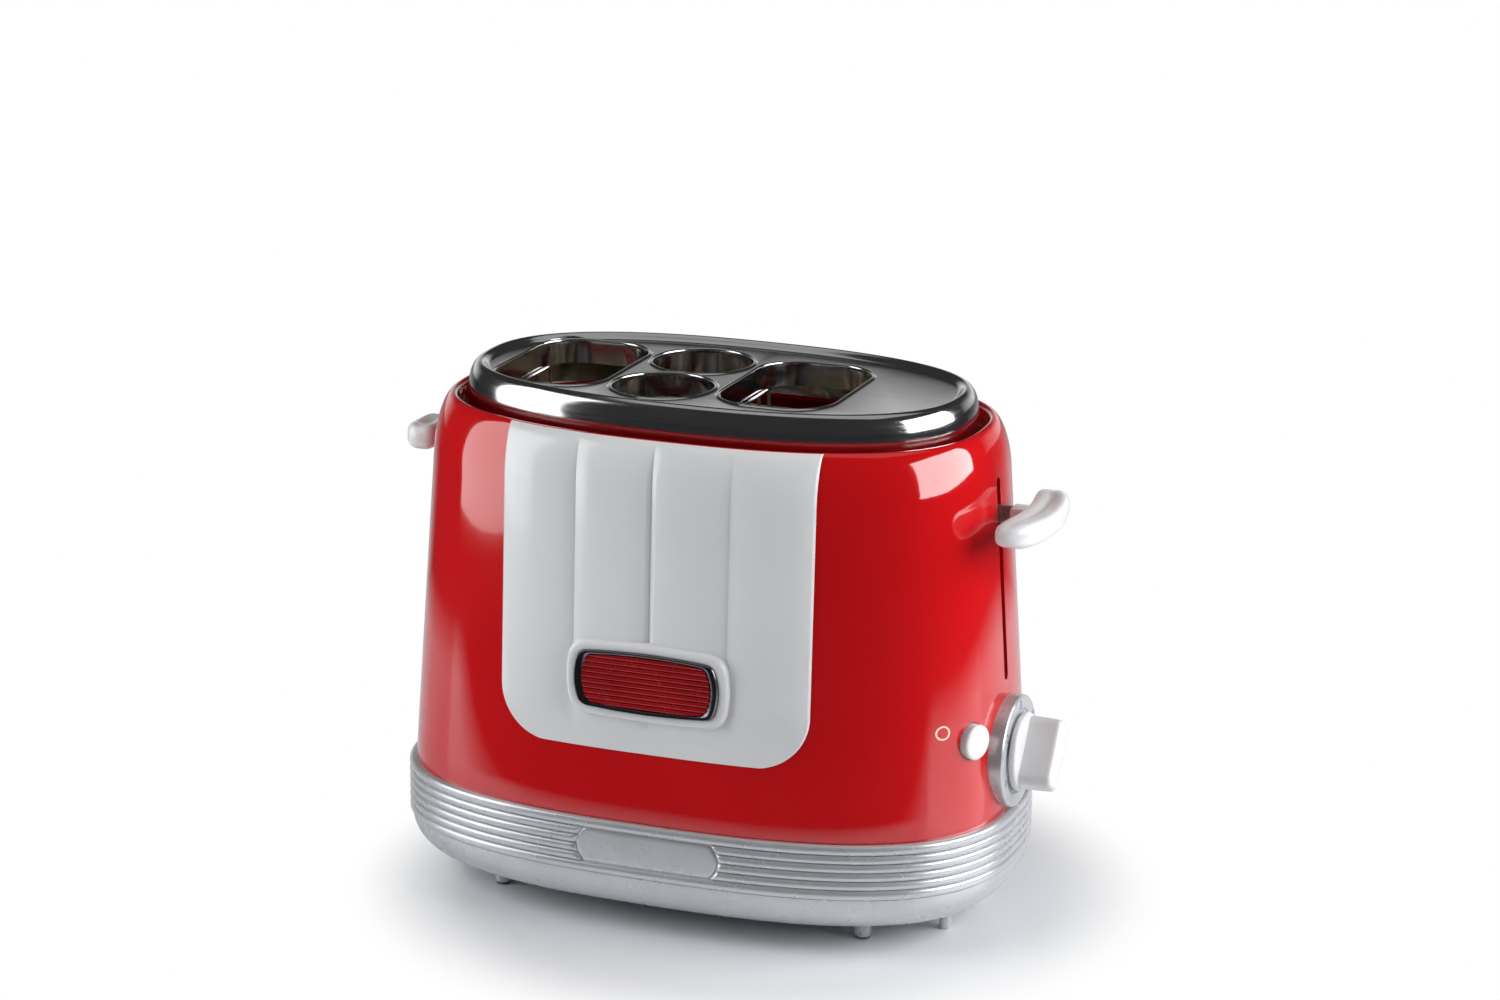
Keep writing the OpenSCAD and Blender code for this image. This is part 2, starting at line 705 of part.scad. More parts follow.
module chassis_right() {
    on_bench() color(SILVER) difference() {
        union() {
            chassis_plate(chassis_right_x);
            for (z = [rod_bottom_z, rod_top_z - bracket_t])
                rod_bracket(chassis_right_x, rod_right_x, 1, z);
            // arms that carry the circuit board
            for (side = [-1, 1])
                block([chassis_right_x, side * 33 - 3, 62], [board_face_x - 1.6, side * 33 + 3, 64]);
        }
        // way for the bun rail
        block([chassis_right_x - 1, -arm_t / 2 - slack, cradle_z - rail_h - bun_travel - slack],
            [chassis_right_x + sheet + 1, arm_t / 2 + slack, cradle_z + bun_extra_lift + slack]);
        rod_z(rod_d / 2 + running, rod_bottom_z - 1, rod_top_z + 1, rod_right_x, 0);
    }
}

module chassis_left() {
    on_bench() color(SILVER) difference() {
        union() {
            chassis_plate(chassis_left_x);
            for (z = [rod_bottom_z, rod_top_z - bracket_t])
                rod_bracket(chassis_left_x, rod_left_x, -1, z);
        }
        // ways for the two arms of the sausage frame
        for (side = [-1, 1])
            block([chassis_left_x - 1, side * (frame_y + frame_t / 2) - frame_t / 2 - 1,
                    frame_z - sausage_travel - slack],
                [chassis_left_x + sheet + 1, side * (frame_y + frame_t / 2) + frame_t / 2 + 1,
                    frame_z + frame_h + slack]);
        rod_z(rod_d / 2 + running, rod_bottom_z - 1, rod_top_z + 1, rod_left_x, 0);
    }
}

frame_z = sausage_block_z - 3;

module heat_shield(side) {
    y0 = side > 0 ? shield_y : -shield_y - 0.8;
    on_bench() color(STEEL)
        block([chassis_left_x + sheet + seat, y0, shield_bottom_z],
            [chassis_right_x - seat, y0 + 0.8, frame_top_z]);
}
module heat_shield_front() { heat_shield(-1); }
module heat_shield_back() { heat_shield(1); }

// A pair of mica boards with their heating ribbon, in front of and behind the middle plane
module heater(x) {
    tab_h = 10;
    turns = 9;
    pitch = (board_top_z - board_bottom_z - 2 * tab_h - 8) / turns;
    for (side = [-1, 1]) {
        y0 = side > 0 ? board_gap : -board_y;
        y1 = side > 0 ? board_y : -board_gap;
        tab_y0 = side > 0 ? board_y - 1 : -shield_y + seat;
        tab_y1 = side > 0 ? shield_y - seat : 1 - board_y;
        color(MICA) block([x - board_t / 2, y0, board_bottom_z],
            [x + board_t / 2, y1, board_top_z]);
        color(MICA) for (z = [board_bottom_z, board_top_z - tab_h])
            block([x - board_t / 2, tab_y0, z], [x + board_t / 2, tab_y1, z + tab_h]);
        color(STEEL) for (k = [0 : turns]) translate([0, 0, board_bottom_z + tab_h + 4 + k * pitch])
            block([x - board_t / 2 - 0.3, y0 + 2, 0], [x + board_t / 2 + 0.3, y1 - 2, 1.6]);
    }
}
module heater_left_outer() { on_bench() heater(left_x - bun_well_x / 2 - 2.4); }
module heater_left_inner() { on_bench() heater(left_x + bun_well_x / 2 + 2.2); }
module heater_right_inner() { on_bench() heater(right_x - bun_well_x / 2 - 2.2); }
module heater_right_outer() { on_bench() heater(right_x + bun_well_x / 2 + 2.4); }

// Wires that keep a bun off the heaters: a flat grid on each side of the well, hung
// between the heat shields
module bun_guard(x) {
    r = guard_wire / 2;
    top = collar_bottom_z - r - seat;
    low = board_bottom_z - 2;
    half_y = bun_well_y / 2 - 8;
    on_bench() color(STEEL) for (side = [-1, 1]) {
        wire_x = x + side * (bun_well_x / 2 - 1.2);
        for (k = [0 : guard_wires - 1])
            rod_z(r, low, top, wire_x, half_y * (2 * k / (guard_wires - 1) - 1));
        for (z = [low, frame_top_z - 6])
            rod_y(r, seat - shield_y, shield_y - seat, wire_x, z);
        rod_y(r, -half_y - r, half_y + r, wire_x, top);
    }
}
module bun_guard_left() { bun_guard(left_x); }
module bun_guard_right() { bun_guard(right_x); }

module guide_rod_right() {
    on_bench() color(STEEL) rod_z(rod_d / 2, rod_bottom_z, rod_top_z, rod_right_x, 0);
}
module guide_rod_left() {
    on_bench() color(STEEL) rod_z(rod_d / 2, rod_bottom_z, rod_top_z, rod_left_x, 0);
}

// ---- Controls ----

module circuit_board() {
    on_bench() color(GREEN) difference() {
        block([board_face_x - 1.6, -38, floor_z + 11], [board_face_x, 38, dial_z + 22]);
        rod_x(shaft_d / 2 + 1, board_face_x - 3, board_face_x + 1, 0, dial_z);
    }
}

module potentiometer() {
    on_bench() color(DARK) difference() {
        union() {
            rod_x(8.5, board_face_x, board_face_x + 9, 0, dial_z);
            rod_x(shaft_d / 2 + 1.6, board_face_x + 9, board_face_x + 16, 0, dial_z);
        }
        rod_x(shaft_d / 2 + running, board_face_x + 4, board_face_x + 17, 0, dial_z);
    }
}

switch_x = board_face_x + 5.4;

module stop_switch() {
    y = -button_y + (housing_end(button_y, button_z, 0) - switch_x) * tan(button_turn());
    on_bench() color(DARK) block([board_face_x, y - 6, button_z - 4.5],
        [switch_x, y + 6, button_z + 4.5]);
}

// Electromagnet that holds a lever down: a coil round an iron core, on the lower bracket
module latch_magnet(x, top_z) {
    y = 16;
    z0 = rod_bottom_z + bracket_t;
    on_bench() {
        color(DARK) rod_z(6, z0, top_z - 1.5, x, y);
        color(STEEL) rod_z(2.5, top_z - 1.6, top_z, x, y);
    }
}
bun_keeper_z = bun_block_z;
sausage_keeper_z = sausage_block_z;
module bun_latch_magnet() {
    latch_magnet(rod_right_x, bun_keeper_z - bun_travel - seat);
}
module sausage_latch_magnet() {
    latch_magnet(rod_left_x + 0.5, sausage_keeper_z - sausage_travel - seat);
}

module dial_ring() {
    x0 = housing_half_x(dial_z) - 6;
    r = dial_ring_d / 2;
    on_bench() color(SILVER) difference() {
        translate([x0, 0, dial_z]) rotate([0, 90, 0]) rotate_extrude($fn = 2 * round_steps)
            polygon([[0, 0], [r, 0], [r, dial_face_x - x0 - 0.8], [r - 0.8, dial_face_x - x0],
                [0, dial_face_x - x0]]);
        ring_stack([for (z = [foot_z, dial_z + 40]) housing_oval(z, -0.02)]);
        rod_x(shaft_d / 2 + 2, x0 - 1, dial_face_x + 1, 0, dial_z);
    }
}

gland_x = 84;
gland_z = 38;
gland_r = 6;
gland_y = (housing_dep / 2 + base_proud_y)
    * pow(1 - pow(gland_x / (housing_len / 2 + base_proud_x), plan_power), 1 / plan_power);

module cord_gland() {
    on_bench() color(DARK) translate([gland_x, gland_y - base_wall - 8, gland_z])
        rotate([-90, 0, 0]) difference() {
            union() {
                cylinder(r = gland_r - 0.1, h = base_wall + 11, $fn = round_steps);
                cylinder(r = gland_r + 2, h = 2.4, $fn = round_steps);
            }
            translate([0, 0, -1]) cylinder(r = 3.5, h = base_wall + 13, $fn = round_steps);
        }
}

module terminal_block() {
    poles = 3;
    pitch = 6;
    h = 14;
    x = 75;
    back_y = housing_dep / 2 + base_proud_y - cover_inset - 13;
    front_y = back_y - 11;
    on_bench() color(WHITE) difference() {
        block([x, front_y, floor_z], [x + poles * pitch + 2, back_y, floor_z + h]);
        for (k = [0 : poles - 1]) rod_y(2, front_y - 1, back_y + 1, x + 4 + pitch * k, floor_z + 8);
    }
}

// Four screws that hold the chassis flanges to the base's floor
module chassis_screws() {
    on_bench() color(STEEL) for (x = [chassis_left_x, chassis_right_x], y = [-30, 30])
        rod_z(2.6, floor_z + 2, floor_z + 3.6, x + sheet + 4.2, y);
}

// ---- Bun carriage ----

module slider_block(x0, x1, rod_pos, z0, h) {
    difference() {
        block([x0, -9, z0], [x1, 9, z0 + h]);
        rod_z(rod_d / 2 + running, z0 - 1, z0 + h + 1, rod_pos, 0);
    }
}

bun_block_x0 = rod_right_x - 10;
bun_block_x1 = rod_right_x + 9;

module bun_slider() {
    on_bench() color(DARK)
        slider_block(bun_block_x0, bun_block_x1, rod_right_x, bun_block_z, bun_block_h);
}

// Steel strip that runs from the slider under both bun wells
module bun_rail() {
    web = 4;
    y = arm_t / 2;
    on_bench() color(STEEL) {
        block([left_x - 20, -y, cradle_z - rail_h], [bun_block_x0, y, cradle_z]);
        block([bun_block_x0 - web, -y, cradle_z - rail_h], [bun_block_x0, y, bun_block_z + 28]);
    }
}

// Wire rest under a bun
module bun_cradle(x) {
    half_x = 19.5;
    half_y = 32;
    r = 1.2;
    on_bench() color(STEEL) difference() {
        union() {
            for (k = [-2 : 2]) rod_x(r, x - half_x, x + half_x, k * 12.5, cradle_z + r);
            for (side = [-1, 1]) {
                rod_y(r, -half_y, half_y, x + side * half_x, cradle_z + r);
                rod_x(r, x - half_x, x + half_x, side * half_y, cradle_z + r);
            }
        }
        block([x - 30, -40, cradle_z - 5], [x + 30, 40, cradle_z]);
    }
}
module bun_cradle_left() { bun_cradle(left_x); }
module bun_cradle_right() { bun_cradle(right_x); }

wall_gap = 0.6;

module bun_lever_arm() {
    on_bench() color(STEEL)
        block([bun_block_x1, -arm_t / 2, bun_lever_z - arm_h / 2 + 1],
            [bar_inner_bun + 2, arm_t / 2, bun_lever_z + arm_h / 2]);
}

// Shape of the lever bars: squareness of their ends, bow in plan and dish on top
lever_end_power = 7;
lever_bow = 180;
lever_dish = 3;

// Lever bar along Y: a rounded paddle w wide and d deep that bows outwards in the middle
// and is dished on top. Its sections run from one end to the other.
function lever_section(y, w, d, inner_x) =
    let (part = 2 * y / w,
         full = sqrt(max(0.02, 1 - pow(abs(part), lever_end_power))),
         mid_x = inner_x + d / 2 - y * y / lever_bow,
         dish = lever_dish * (1 - part * part))
    [for (k = [0 : 15])
        let (t = 360 * k / 16,
             c = sign(cos(t)) * pow(abs(cos(t)), 0.7),
             s = sign(sin(t)) * pow(abs(sin(t)), 0.7))
        [mid_x + d / 2 * full * c, y,
            lever_t / 2 * full * s - (s > 0 ? dish * (1 - abs(c)) * s : 0)]];
lever_stations = [1, 0.99, 0.96, 0.9, 0.8, 0.6, 0.3, 0, -0.3, -0.6, -0.8, -0.9, -0.96, -0.99, -1];

module lever_bar(w, d, inner_x, neck_x) {
    difference() {
        union() {
            ring_stack([for (part = lever_stations) lever_section(part * w / 2, w, d, inner_x)]);
            block([neck_x, -4, -arm_h / 2 + 0.5], [inner_x + 3, 4, arm_h / 2 + 0.5]);
        }
        block([neck_x - 1, -arm_t / 2 - 0.01, -arm_h / 2 + 1 - 0.01],
            [inner_x + 2.02, arm_t / 2 + 0.01, arm_h / 2 + 0.01]);
    }
}

module bun_lever() {
    on_bench() color(WHITE) translate([0, 0, bun_lever_z])
        lever_bar(bun_lever_w, bun_lever_d, bar_inner_bun,
            housing_half_x(bun_lever_z - bun_travel - arm_h / 2) + wall_gap);
}

module bun_keeper() {
    on_bench() color(STEEL) block([rod_right_x - 6, 9, bun_keeper_z],
        [rod_right_x + 6, 21, bun_keeper_z + 2]);
}

module bun_spring() {
    on_bench() color(STEEL) coil(rod_right_x, 6, 0.5, 14, rod_bottom_z + bracket_t + 0.2,
        bun_block_z - 0.3);
}

// ---- Sausage carriage ----

sausage_block_x0 = rod_left_x - 5.5;
sausage_block_x1 = chassis_left_x - 3;

module sausage_slider() {
    on_bench() color(DARK) slider_block(sausage_block_x0, sausage_block_x1, rod_left_x,
        sausage_block_z, sausage_block_h);
}

// U-shaped steel strip that reaches round the left bun well to the cups
module sausage_frame() {
    reach = frame_y + frame_t;
    on_bench() color(STEEL) {
        block([sausage_block_x1, -reach, frame_z], [sausage_block_x1 + 2, reach, frame_z + frame_h]);
        for (side = [-1, 1])
            block([sausage_block_x1, side > 0 ? frame_y : -reach, frame_z],
                [cook_x + 8, side > 0 ? reach : -frame_y, frame_z + frame_h]);
    }
}

// Perforated cup under each sausage well
module sausage_cups() {
    band = 2;
    on_bench() color(STEEL) for (side = [-1, 1]) {
        translate([cook_x, side * sausage_y, 0]) difference() {
            rod_z(cup_r, cup_z, cup_z + cup_h, 0, 0);
            rod_z(cup_r - 1, cup_z + 1.2, cup_z + cup_h + 1, 0, 0);
            for (turn = [0, 90]) rotate([0, 0, turn])
                block([-cup_r - 1, -4.5, frame_z + frame_h + 1],
                    [cup_r + 1, 4.5, cup_z + cup_h - band]);
            for (turn = [0 : 60 : 300]) rotate([0, 0, turn]) translate([9, 0, cup_z - 1])
                cylinder(r = 2.6, h = 3, $fn = round_steps);
        }
        // tab that joins the cup to the frame
        block([cook_x - 4, side > 0 ? sausage_y + cup_r - 0.6 : -frame_y, frame_z],
            [cook_x + 4, side > 0 ? frame_y : -sausage_y - cup_r + 0.6, frame_z + frame_h]);
    }
}

module sausage_lever_arm() {
    on_bench() color(STEEL)
        block([-bar_inner_sausage - 2, -arm_t / 2, sausage_lever_z - arm_h / 2 + 1],
            [sausage_block_x0, arm_t / 2, sausage_lever_z + arm_h / 2]);
}

module sausage_lever() {
    on_bench() color(WHITE) translate([0, 0, sausage_lever_z]) mirror([1, 0, 0])
        lever_bar(sausage_lever_w, sausage_lever_d, bar_inner_sausage,
            housing_half_x(sausage_lever_z - sausage_travel - arm_h / 2) + wall_gap);
}

module sausage_keeper() {
    on_bench() color(STEEL) block([rod_left_x - 5, 9, sausage_keeper_z],
        [rod_left_x + 6, 21, sausage_keeper_z + 2]);
}

module sausage_spring() {
    on_bench() color(STEEL) coil(rod_left_x, 4.6, 0.5, 12, rod_bottom_z + bracket_t + 0.2,
        sausage_block_z - 0.3);
}

// ---- Dial and button ----

module dial_knob() {
    r = knob_d / 2;
    grip_len = knob_d - 3;
    grip_out = knob_reach - knob_face_x;
    on_bench() color(WHITE) difference() {
        translate([knob_face_x, 0, dial_z]) rotate([-grip_angle, 0, 0]) {
            rotate([0, 90, 0]) rotate_extrude($fn = 2 * round_steps)
                polygon([[0, 0], [r, 0], [r, knob_skirt_t - 1], [r - 1, knob_skirt_t],
                    [0, knob_skirt_t + 0.6]]);
            intersection() {
                rotate([0, 90, 0]) linear_extrude(height = grip_out)
                    round_rect(grip_len, grip_w, 5);
                rotate([90, 0, 0]) linear_extrude(height = grip_w, center = true)
                    translate([grip_out / 2, 0]) round_rect(grip_out, grip_len, 3.5);
            }
        }
        rod_x(shaft_d / 2 + running, knob_face_x - 1, knob_face_x + 10, 0, dial_z);
    }
}

module dial_shaft() {
    on_bench() color(STEEL)
        rod_x(shaft_d / 2, board_face_x + 4.2, knob_face_x + 10, 0, dial_z);
}

module stop_button() {
    r = button_d / 2;
    flange = housing_wall + 1.5;
    stem_end = (housing_end(button_y, button_z, 0) - switch_x) / cos(button_turn())
        - button_travel - 0.9;
    on_bench() color(WHITE) place_button() rotate_extrude($fn = round_steps)
        polygon([[0, -stem_end], [2, -stem_end], [2, -flange - 1.4], [r + 1.4, -flange - 1.4],
            [r + 1.4, -flange], [r, -flange], [r, button_proud - 1], [r - 0.3, button_proud - 0.3],
            [r - 1, button_proud], [0, button_proud + 0.5]]);
}

// ---- Crumb tray ----

tray_left_x = cook_x - tray_w / 2;
tray_right_x = cook_x + tray_w / 2;
tray_top_z = plaque_top_z - 0.4;
tray_front_y = -46;
tray_back_y = 66;

module crumb_tray() {
    on_bench() color(STEEL) difference() {
        block([tray_left_x, tray_front_y, tray_z], [tray_right_x, tray_back_y, tray_z + tray_h]);
        block([tray_left_x + 1, tray_front_y + 1, tray_z + 1],
            [tray_right_x - 1, tray_back_y - 1, tray_z + tray_h + 1]);
    }
}

// Curved front of the tray that closes the opening in the base, with a finger scoop.
// It is hollow towards the pan on both sides of the scoop.
module tray_front_body(inset, wall) {
    difference() {
        ring_stack([base_oval(tray_z + wall, inset), base_oval(tray_top_z - wall, inset)]);
        block([-housing_len, -housing_dep, 0], [housing_len, tray_back_y - wall, foot_z]);
    }
}

module tray_front() {
    wall = 2.2;
    scoop_r = 14;
    on_bench() color(SILVER) difference() {
        intersection() {
            tray_front_body(0.6, 0);
            block([tray_left_x, 0, tray_z], [tray_right_x, housing_dep, tray_top_z]);
        }
        intersection() {
            tray_front_body(0.6 + wall, wall);
            union() {
                block([tray_left_x + wall, 0, tray_z], [cook_x - scoop_r - wall, housing_dep, foot_z]);
                block([cook_x + scoop_r + wall, 0, tray_z], [tray_right_x - wall, housing_dep, foot_z]);
            }
        }
        translate([cook_x, housing_dep / 2 + 6, tray_z - 4]) sphere(r = scoop_r, $fn = round_steps);
    }
}

// Two runners that carry the tray, standing on the base's floor
module tray_runners() {
    on_bench() color(DARK) for (x = [tray_left_x + 4, tray_right_x - 8])
        block([x, -40, floor_z], [x + 4, 44, tray_z]);
}

housing();
front_panel();
badge_frame();
badge_insert();
top_plate();
top_rim();
well_collars();
base_shell();
base_plaque();
bottom_cover();
feet();
end_posts();
chassis_left();
chassis_right();
heat_shield_front();
heat_shield_back();
heater_left_outer();
heater_left_inner();
heater_right_inner();
heater_right_outer();
bun_guard_left();
bun_guard_right();
guide_rod_left();
guide_rod_right();
circuit_board();
potentiometer();
stop_switch();
bun_latch_magnet();
sausage_latch_magnet();
dial_ring();
cord_gland();
terminal_block();
tray_runners();
cover_screws();
chassis_screws();
bun_slider();
bun_rail();
bun_cradle_left();
bun_cradle_right();
bun_lever_arm();
bun_lever();
bun_keeper();
bun_spring();
sausage_slider();
sausage_frame();
sausage_cups();
sausage_lever_arm();
sausage_lever();
sausage_keeper();
sausage_spring();
dial_knob();
dial_shaft();
stop_button();
crumb_tray();
tray_front();
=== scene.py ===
"""Looks of an oval counter-top toaster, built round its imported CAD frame.

Sizes are millimetres from the middle of the housing, with +X towards the dial end, +Y to the
back and +Z up. Workshop turns them into the frame's metres.
"""

from __future__ import annotations

import json
import logging
import math
from contextlib import contextmanager
from dataclasses import dataclass
from enum import Enum
from typing import Callable, Iterator, Sequence

import bmesh
import bpy
import numpy as np
from mathutils import Matrix, Vector

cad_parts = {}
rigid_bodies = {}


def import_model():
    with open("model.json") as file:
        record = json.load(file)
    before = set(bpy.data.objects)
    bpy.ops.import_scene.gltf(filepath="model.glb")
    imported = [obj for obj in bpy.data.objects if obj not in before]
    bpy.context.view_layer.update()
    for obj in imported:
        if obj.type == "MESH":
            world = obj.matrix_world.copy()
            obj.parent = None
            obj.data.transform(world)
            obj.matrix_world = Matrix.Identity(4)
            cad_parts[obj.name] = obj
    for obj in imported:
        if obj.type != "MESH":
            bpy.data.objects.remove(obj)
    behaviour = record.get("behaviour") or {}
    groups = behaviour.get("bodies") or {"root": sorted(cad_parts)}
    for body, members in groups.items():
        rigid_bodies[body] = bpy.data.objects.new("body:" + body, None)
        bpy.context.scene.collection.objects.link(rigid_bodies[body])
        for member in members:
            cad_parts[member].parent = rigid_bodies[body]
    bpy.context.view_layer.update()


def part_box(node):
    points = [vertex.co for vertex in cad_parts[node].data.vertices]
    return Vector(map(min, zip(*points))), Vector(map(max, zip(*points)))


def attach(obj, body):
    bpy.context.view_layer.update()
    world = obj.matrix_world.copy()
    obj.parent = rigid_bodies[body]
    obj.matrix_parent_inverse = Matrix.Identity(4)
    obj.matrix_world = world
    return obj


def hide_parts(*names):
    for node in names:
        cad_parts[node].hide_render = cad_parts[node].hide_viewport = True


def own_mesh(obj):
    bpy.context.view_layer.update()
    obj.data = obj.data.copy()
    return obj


LOG = logging.getLogger("toaster")
MM = 0.001
PRINT_PROUD = 0.03

Pair = tuple[float, float]
Point = tuple[float, float, float]
Points = Sequence[Sequence[float]]
Outline = Callable[[float], np.ndarray]
Placer = Callable[[np.ndarray, float], np.ndarray]
Obj = bpy.types.Object
Node = bpy.types.Node
Socket = tuple[Node, str | int]


class Slot(Enum):
    """The record's material slots."""

    RED = "red_gloss"
    WHITE = "white_gloss"
    SILVER = "silver_satin"
    BADGE_DARK = "badge_dark"
    BADGE_RED = "badge_red"
    POLISHED = "polished_steel"
    SHEET = "sheet_steel"
    MICA = "mica"
    PLASTIC = "dark_plastic"
    BOARD = "board_green"


class Body(Enum):
    """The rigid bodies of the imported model."""

    TOASTER = "toaster"
    BUN = "bun_carriage"
    SAUSAGE = "sausage_carriage"
    DIAL = "dial"
    BUTTON = "stop_button"
    TRAY = "tray"


# ---------------------------------------------------------------------------------------
# Sizes


@dataclass(frozen=True)
class Plan:
    """A superellipse seen from above."""

    half_x: float
    half_y: float
    power: float

    def ring(self, angles: np.ndarray) -> np.ndarray:
        """Points of the oval.

        Args:
            angles: Their angles in radians.

        Returns:
            Pairs of X and Y.
        """
        c, s = np.cos(angles), np.sin(angles)
        x = self.half_x * np.sign(c) * np.abs(c) ** (2 / self.power)
        y = self.half_y * np.sign(s) * np.abs(s) ** (2 / self.power)
        return np.stack([x, y], axis=1)

    def front(self, x: float) -> float:
        """Distance from the middle plane to the oval's front at x."""
        share = min(1.0, abs(x) / self.half_x) ** self.power
        return self.half_y * (1 - share) ** (1 / self.power)

    def end(self, y: float) -> float:
        """Distance from the middle plane to the oval's end at y."""
        share = min(1.0, abs(y) / self.half_y) ** self.power
        return self.half_x * (1 - share) ** (1 / self.power)


@dataclass(frozen=True)
class HousingSize:
    """The red housing."""

    length: float = 260
    depth: float = 160
    length_taper: float = 19
    depth_taper: float = 12
    foot_z: float = 50
    shoulder_z: float = 190
    lip_z: float = 209
    shoulder_in: float = 5.5
    wall: float = 2.5
    power: float = 2.7
    power_drop: float = 0.2
    flange_z: float = 199

    def plan(self, z: float, inset: float = 0) -> Plan:
        """The housing's oval before the shoulder rounds over.

        Args:
            z: Its height.
            inset: How far it is shrunk.

        Returns:
            The oval.
        """
        rise = max(0.0, z - self.foot_z) / (self.shoulder_z - self.foot_z)
        part = min(1.0, max(0.0, (z - self.shoulder_z) / (self.lip_z - self.shoulder_z)))
        return Plan(
            (self.length - self.length_taper * rise) / 2 - inset,
            (self.depth - self.depth_taper * rise) / 2 - inset,
            self.power - self.power_drop * part,
        )

    def shoulder_inset(self, z: float) -> float:
        """How far the shoulder has rounded inwards at height z."""
        part = min(1.0, max(0.0, (z - self.shoulder_z) / (self.lip_z - self.shoulder_z)))
        return self.shoulder_in * (1 - math.sqrt(1 - part * part))

    def front(self, x: float, z: float) -> float:
        """Distance from the middle plane to the housing's front at x and z."""
        return self.plan(z, self.shoulder_inset(z)).front(x)


@dataclass(frozen=True)
class BaseSize:
    """The ribbed base, its feet and posts."""

    half_x: float = 133
    half_y: float = 82
    power: float = 2.7
    top_z: float = 50
    bowl_z: float = 26.5
    bottom_z: float = 10
    bowl_in: float = 17
    broad_rib: float = 4.3
    narrow_ribs: int = 4
    groove: float = 1.5
    wall: float = 5
    floor: float = 3
    cover_inset: float = 32
    plaque_w: float = 63
    plaque_bow: float = 3.4
    foot_r: float = 3.6
    foot_x: float = 81
    foot_y: float = 43
    post_r: float = 3
    post_x: float = 109
    post_y: float = 20

    @property
    def plaque_top(self) -> float:
        """Height of the plaque's upper edge."""
        return self.top_z - self.broad_rib

    @property
    def plaque_bottom(self) -> float:
        """Height of the plaque's lower edge."""
        return self.bowl_z + self.broad_rib

    @property
    def plaque_middle(self) -> float:
        """Height of the plaque's middle."""
        return (self.plaque_top + self.plaque_bottom) / 2

    def plan(self, inset: float) -> Plan:
        """The base's oval shrunk by inset."""
        return Plan(self.half_x - inset, self.half_y - inset, self.power)

    def rib_edges(self) -> list[float]:
        """Heights of the grooves between ribs.

        Returns:
            The heights, from the top down.
        """
        narrow = (self.plaque_top - self.plaque_bottom) / self.narrow_ribs
        between = [self.plaque_top - k * narrow for k in range(self.narrow_ribs + 1)]
        return [self.top_z, *between, self.bowl_z]


@dataclass(frozen=True)
class PanelSize:
    """The white fluted front panel."""

    width: float = 134.8
    bottom_z: float = 80
    corner_r: float = 22
    proud: float = 0.6
    flutes: int = 4
    flute_h: float = 2.4
    flute_power: float = 0.62
    fade_from: float = 4
    fade_low: float = 22
    fade_high: float = 14
    fade_to: float = 1

    def half_width(self, z: float) -> float:
        """Half of the panel's width.

        Args:
            z: The height it is taken at.

        Returns:
            The half width.
        """
        drop = self.bottom_z + self.corner_r - z
        if drop <= 0:
            return self.width / 2
        return self.width / 2 - self.corner_r + math.sqrt(max(0.0, self.corner_r**2 - drop**2))

    def crown(self, x: float) -> float:
        """Height of a flute.

        Args:
            x: Place along the panel, from its middle.

        Returns:
            A share of the flute's full height.
        """
        part = (x / self.width + 0.5) * self.flutes
        part -= math.floor(part)
        return (4 * part * (1 - part)) ** self.flute_power

    def fade(self, z: float, lip_z: float) -> float:
        """How much of the flutes is left towards the panel's lower and upper end.

        Args:
            z: The height it is taken at.
            lip_z: Height of the housing's lip.

        Returns:
            1 for full flutes and 0 for none.
        """
        low = min(1.0, max(0.0, (z - self.bottom_z - self.fade_from) / self.fade_low))
        high = min(1.0, max(0.0, (lip_z - self.fade_to - z) / self.fade_high))
        low = low * low * (3 - 2 * low)
        return low * math.sqrt(max(0.0, 1 - (1 - high) ** 2))


@dataclass(frozen=True)
class BadgeSize:
    """The badge on the panel, which carries no words."""

    z: float = 110.5
    width: float = 63
    height: float = 25.7
    bow: float = 2.6
    crown: float = 1.6
    rim_w: float = 3.5
    rim_h: float = 1.7
    pad: float = 3.3
    ribs: int = 10
    above_crowns: float = 0.6
    proud: float = 1.1
    sunk: float = 2.2

    def outline(self, inset_x: float, inset_z: float, round_r: float) -> Outline:
        """The badge's barrel shape, shrunk from its sides and from top and bottom."""
        width, height = self.width - 2 * inset_x, self.height - 2 * inset_z
        return bowed_outline(width, height, self.bow, round_r, self.crown)


@dataclass(frozen=True)
class TopSize:
    """The steel rim, its plate and the wells."""

    half_x: float = 108.26
    half_y: float = 60.49
    power: float = 2.44
    crest_z: float = 221.6
    plate_z: float = 219
    skirt: float = 13
    sheet: float = 1.2
    cook_x: float = -17
    bun_pitch: float = 50
    bun_w: float = 49
    bun_d: float = 76
    bun_r: float = 18
    sausage_y: float = 22
    sausage_r: float = 21
    collar_z: float = 209

    def plan(self, inset: float) -> Plan:
        """The rim's oval shrunk by inset."""
        return Plan(self.half_x - inset, self.half_y - inset, self.power)

    def bun_centres(self) -> list[float]:
        """Middles of the two bun wells along X."""
        return [self.cook_x - self.bun_pitch, self.cook_x + self.bun_pitch]


@dataclass(frozen=True)
class LeverSize:
    """One lever bar, with x as a distance from the middle plane."""

    width: float
    depth: float
    reach: float
    z: float
    neck_x: float
    thickness: float = 12.5
    end_power: float = 7
    bow: float = 180
    dish: float = 3
    neck_half: float = 4
    arm_h: float = 8

    @property
    def inner_x(self) -> float:
        """Where the bar starts."""
        return self.reach - self.depth


BUN_LEVER = LeverSize(width=66, depth=15.5, reach=147.38, z=174, neck_x=126.87)
SAUSAGE_LEVER = LeverSize(width=25, depth=13.5, reach=140.27, z=182.5, neck_x=125.96)


